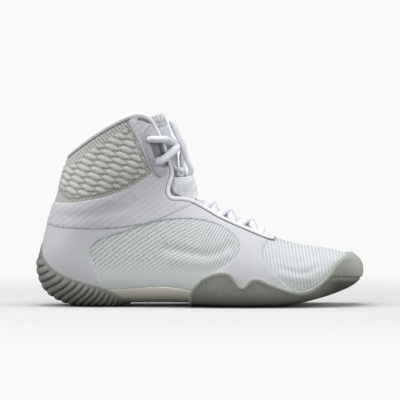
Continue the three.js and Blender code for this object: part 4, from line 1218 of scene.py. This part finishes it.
def cream_foam(name, colour, shade):
    """Moulded foam: a waxy skin, slightly translucent, with painted shade towards the floor."""
    material, tree = new_material(name)
    place = in_object(tree)
    # Painted shade: the colour goes to the shade colour near the floor.
    face = blend(tree, ramp(tree, separate(tree, place)[2], 0.004, 0.016), shade, colour)
    return coated(material, tree, face, noise(tree, place, 900, 2), 0.15, 0.0003, 0.5)


dress(midsole, cream_foam("moulded_cream_foam", "#f0ecdd", "#bdb9ab"), "midsole")

# Heel rubber: a cup of grey-green rubber round the heel with eighteen waved ribs that fan from the ankle,
# a smooth rim along its top edge, and a flat spot on the floor.
heel_rubber = 3.4
heel_rubber_edge = 1.2
heel_edge_taper = 9
heel_rib_height = 1.5
heel_rib_count = 18
heel_rib_front = 4.6
heel_rib_back = 8.2
heel_edge = smooth_line([
    (0.022, 0.352), (0.02, 0.302), (0.024, 0.254), (0.041, 0.209), (0.062, 0.18), (0.094, 0.149), (0.13, 0.128),
    (0.164, 0.112), (0.195, 0.096), (0.215, 0.084), (0.246, 0.054), (0.288, 0.006),
], 40)
heel_outline = np.concatenate([
    heel_edge, np.array([[0.292 * shoe_length, -4], [-30, -4], [-30, foot_lift + 0.352 * form_height]]),
])
sole_stations = np.linspace(11, 17, 400)
sole_line = passage(form_table, sole_stations)[:, 0:2]
sole_lengths = lengths_along(sole_line)
rib_edges = np.cumsum([0] + [heel_rib_front + (heel_rib_back - heel_rib_front) * i / heel_rib_count
                             for i in range(heel_rib_count)])


def heel_shape(station, turn, points):
    """The cup's plain thickness, the ribs' height as a share, and how far the ribs have risen below the rim."""
    inward = distance_to(heel_edge, points)
    body = heel_rubber_edge + (heel_rubber - heel_rubber_edge) * smooth_step(inward / heel_edge_taper)
    rim = 0.55 * ridge(inward, 1.1, 1.1)
    side = np.minimum(turn % 1, 1 - turn % 1)
    wave = 2.1 * np.sin(inward / 4.6 + 0.6)
    along = np.interp(station, sole_stations, sole_lengths) + wave * smooth_step(side / 0.08)
    phase = np.interp(along, rib_edges, np.arange(len(rib_edges)))
    crest = np.abs(np.sin(np.pi * phase)) ** 0.6
    fade = smooth_step((inward - 1.2) / 3.4)
    return body + rim, crest, fade


def heel_marks(station, turn, points, depth):
    # A low crest puts painted shade in the troughs between the ribs.
    crest, fade = heel_shape(station, turn, points)[1:]
    return {"crest": 1 - (1 - crest) * fade}


def heel_top(station, turn, points, depth):
    body, crest, fade = heel_shape(station, turn, points)
    return body + heel_rib_height * (crest - 0.12) * fade


heel = layer(
    "heel_rubber_cup", np.linspace(10.9, 16.9, 260), np.linspace(-0.5, 0.5, 150),
    lambda p: inside_by(heel_outline, p),
    lambda s, t, p, d: bed_offset(s) + 0.1, heel_top,
    round_heel_uv, floor_flat=True, marks=heel_marks,
)
# The colour of the painted highlight over the toe.
toe_highlight_colour = "#c3c7be"


def grey_rubber(name, colour, shade, rim_colour, pitch, slant, depth):
    """Outsole rubber: satin, slightly blotched, pale along the rim, with a painted highlight over the toe, and painted
    shade between the ribs, under the toe and in the fine cut grooves. pitch is the fine cut grooves' in metres, slant
    their angle, and depth how much they show."""
    material, tree = new_material(name)
    place, edge = in_object(tree), attribute(tree, "from_edge")
    grooves = stripes(tree, turned(tree, place, (0, slant, 0)), pitch, 2.5, detail=0, detail_scale=0.2)
    # Painted shade in the fine cut grooves, away from the edge.
    lines = maths(tree, "MAXIMUM", ramp(tree, grooves, 0.15, 0.5, 1 - depth), ramp(tree, edge, 2.6, 3.4, 1, 0))
    # Painted shade: where crest is low, between the ribs and under the toe, the rubber goes to its shade colour.
    ribs = ramp(tree, attribute(tree, "crest"), 0.35, 0.95, 0.05)
    mottle = ramp(tree, noise(tree, place, 45, 3), 0.3, 0.7, 0.85)
    ribbed = blend(tree, times(tree, times(tree, lines, ribs), mottle), shade, colour)
    edged = blend(tree, ramp(tree, edge, 0.9, 1.7, 1, 0), ribbed, rim_colour)
    # Painted highlight: the pale value lightens the toe.
    painted_toe_light = times(tree, times(tree, attribute(tree, "pale"), mottle), 0.75)
    return coated(material, tree, blend(tree, painted_toe_light, edged, toe_highlight_colour), lines, 0.6, 0.0006, 0.55)


heel_finish = grey_rubber("heel_outsole_rubber", "#93968e", "#474a45", "#8f928a", 0.0021, 0.6, 0)
dress(heel, heel_finish, "outsole_heel")

# Forefoot rubber: a cup round the ball and the toes with a waved raised rim, fine slanting ribs on its side,
# a bumper over the toe above a split line, and bending grooves across the tread.
forefoot_rubber = 2.7
forefoot_rim = 3.6
rim_width = 3.2
split_height = 27.5
split_width = 1.3
split_depth = 0.9
split_from = 0.87
forefoot_edge = smooth_line([
    (0.469, 0.012), (0.47, 0.07), (0.497, 0.128), (0.522, 0.154), (0.545, 0.168), (0.565, 0.172), (0.584, 0.169),
    (0.597, 0.157), (0.607, 0.137), (0.617, 0.112), (0.626, 0.1), (0.637, 0.107), (0.648, 0.128), (0.66, 0.14),
    (0.681, 0.137), (0.706, 0.118), (0.732, 0.102), (0.755, 0.088), (0.779, 0.078), (0.802, 0.075), (0.826, 0.083),
    (0.847, 0.101), (0.862, 0.119), (0.876, 0.138), (0.889, 0.163), (0.903, 0.196), (0.918, 0.22), (0.934, 0.234),
    (0.951, 0.243), (0.969, 0.249), (0.991, 0.253),
], 90)
forefoot_outline = np.concatenate([
    forefoot_edge,
    np.array([[1.2 * shoe_length, foot_lift + 0.253 * form_height], [1.2 * shoe_length, -4],
              [0.469 * shoe_length, -4]]),
])


def forefoot_top(station, turn, points, depth):
    inward = distance_to(forefoot_edge, points)
    rim = 1 - smooth_step((inward - rim_width + 1.2) / 1.2)
    bumper = smooth_step((points[..., 2] - split_height + 0.3) / 0.6) * (points[..., 0] > split_from * shoe_length)
    raised = np.maximum(rim * (0.55 + 0.45 * smooth_step(inward / 1.2)), bumper)
    split = ridge(points[..., 2], split_height - split_width / 2, 0.6 * split_width)
    split *= (points[..., 0] > split_from * shoe_length) * (1 - rim)
    return fit_gap + forefoot_rubber + (forefoot_rim - forefoot_rubber) * raised - split_depth * split


def forefoot_marks(station, turn, points, depth):
    """A painted highlight over the toe, and painted shade under it, where it curls off the floor."""
    height, share = points[..., 2], points[..., 0] / shoe_length
    under_toe_shade = smooth_step((split_height - height) / 5) * smooth_step((share - 0.84) / 0.08)
    bumper = smooth_step((height - split_height) / 2) * smooth_step((share - 0.93) / 0.05)
    return {"crest": 1 - 0.64 * under_toe_shade, "pale": bumper}


forefoot = layer(
    "forefoot_rubber_cup", np.concatenate([fine_stations[fine_stations < 1], np.linspace(1, 10, 190)]),
    np.linspace(-0.5, 0.5, 190),
    lambda p: inside_by(forefoot_outline, p),
    lambda s, t, p, d: bed_offset(s) + 0.1, forefoot_top,
    lambda s, t, p: over_top_uv(s, t % 1, p), floor_flat=True,
    marks=forefoot_marks,
)
forefoot_finish = grey_rubber("forefoot_outsole_rubber", "#a9aca3", "#50534d", "#b4b7ae", 0.0019, -0.6, 0.8)
dress(forefoot, forefoot_finish, "outsole_forefoot")

# Floor and light: a wide pale floor that fades into a white room, lit by a broad soft box above and weaker ones
# beyond the toe, in front and behind. The floor throws little light back, so the sole's underside stays dark.
bpy.ops.mesh.primitive_plane_add(size=9, location=(0, 0, 0))
floor = bpy.context.object
floor.name = "floor"
floor_paint, tree = new_material("floor_paint")
pale = node(tree, "BsdfDiffuse", {"Color": linear("#dcdcda")})
dim = node(tree, "BsdfDiffuse", {"Color": linear("#8c8c8a")})
seen = node(tree, "LightPath").outputs["Is Camera Ray"]
paint = node(tree, "MixShader", {0: seen, 1: dim.outputs[0], 2: pale.outputs[0]})
narrow = turned(tree, in_object(tree), (0, 0, 0), (0.55, 1, 1))
reach = node(tree, "VectorMath", {0: narrow}, operation="LENGTH")
fade = node(tree, "MapRange", {0: reach.outputs["Value"], 1: 0.1, 2: 0.6, 3: 0, 4: 1},
            interpolation_type="SMOOTHSTEP")
clear = node(tree, "BsdfTransparent")
surface = node(tree, "MixShader", {0: fade.outputs[0], 1: paint.outputs[0], 2: clear.outputs[0]})
node(tree, "OutputMaterial", {"Surface": surface.outputs[0]})
floor.data.materials.append(floor_paint)

room = bpy.data.worlds.new("room")
room.use_nodes = True
tree = room.node_tree
tree.nodes.clear()
seen = node(tree, "LightPath").outputs["Is Camera Ray"]
backdrop = node(tree, "Background", {"Color": linear("#f9f9f9"), "Strength": 1})
ambient = node(tree, "Background", {"Color": linear("#f4f6fa"), "Strength": 0.32})
both = node(tree, "MixShader", {0: seen, 1: ambient.outputs[0], 2: backdrop.outputs[0]})
node(tree, "OutputWorld", {"Surface": both.outputs[0]})
bpy.context.scene.world = room
bpy.context.scene.view_settings.view_transform = "Standard"

# name, place, aim, size, power
lamps = [
    ("top_lamp", (-0.15, -0.25, 1.5), (0.02, 0, 0.08), 1.4, 18),
    ("toe_lamp", (1.5, -0.3, 0.7), (0.05, 0, 0.08), 1, 9.5),
    ("front_lamp", (-0.8, -1.9, 0.8), (0, 0, 0.08), 1.3, 8),
    ("back_lamp", (-1.4, -0.3, 0.9), (-0.05, 0, 0.09), 0.9, 6),
]
for name, place, aim, size, power in lamps:
    bpy.ops.object.light_add(type="AREA", location=place)
    light = bpy.context.object
    light.name, light.data.size, light.data.energy = name, size, power
    light.rotation_euler = (Vector(aim) - Vector(place)).to_track_quat("-Z", "Y").to_euler()
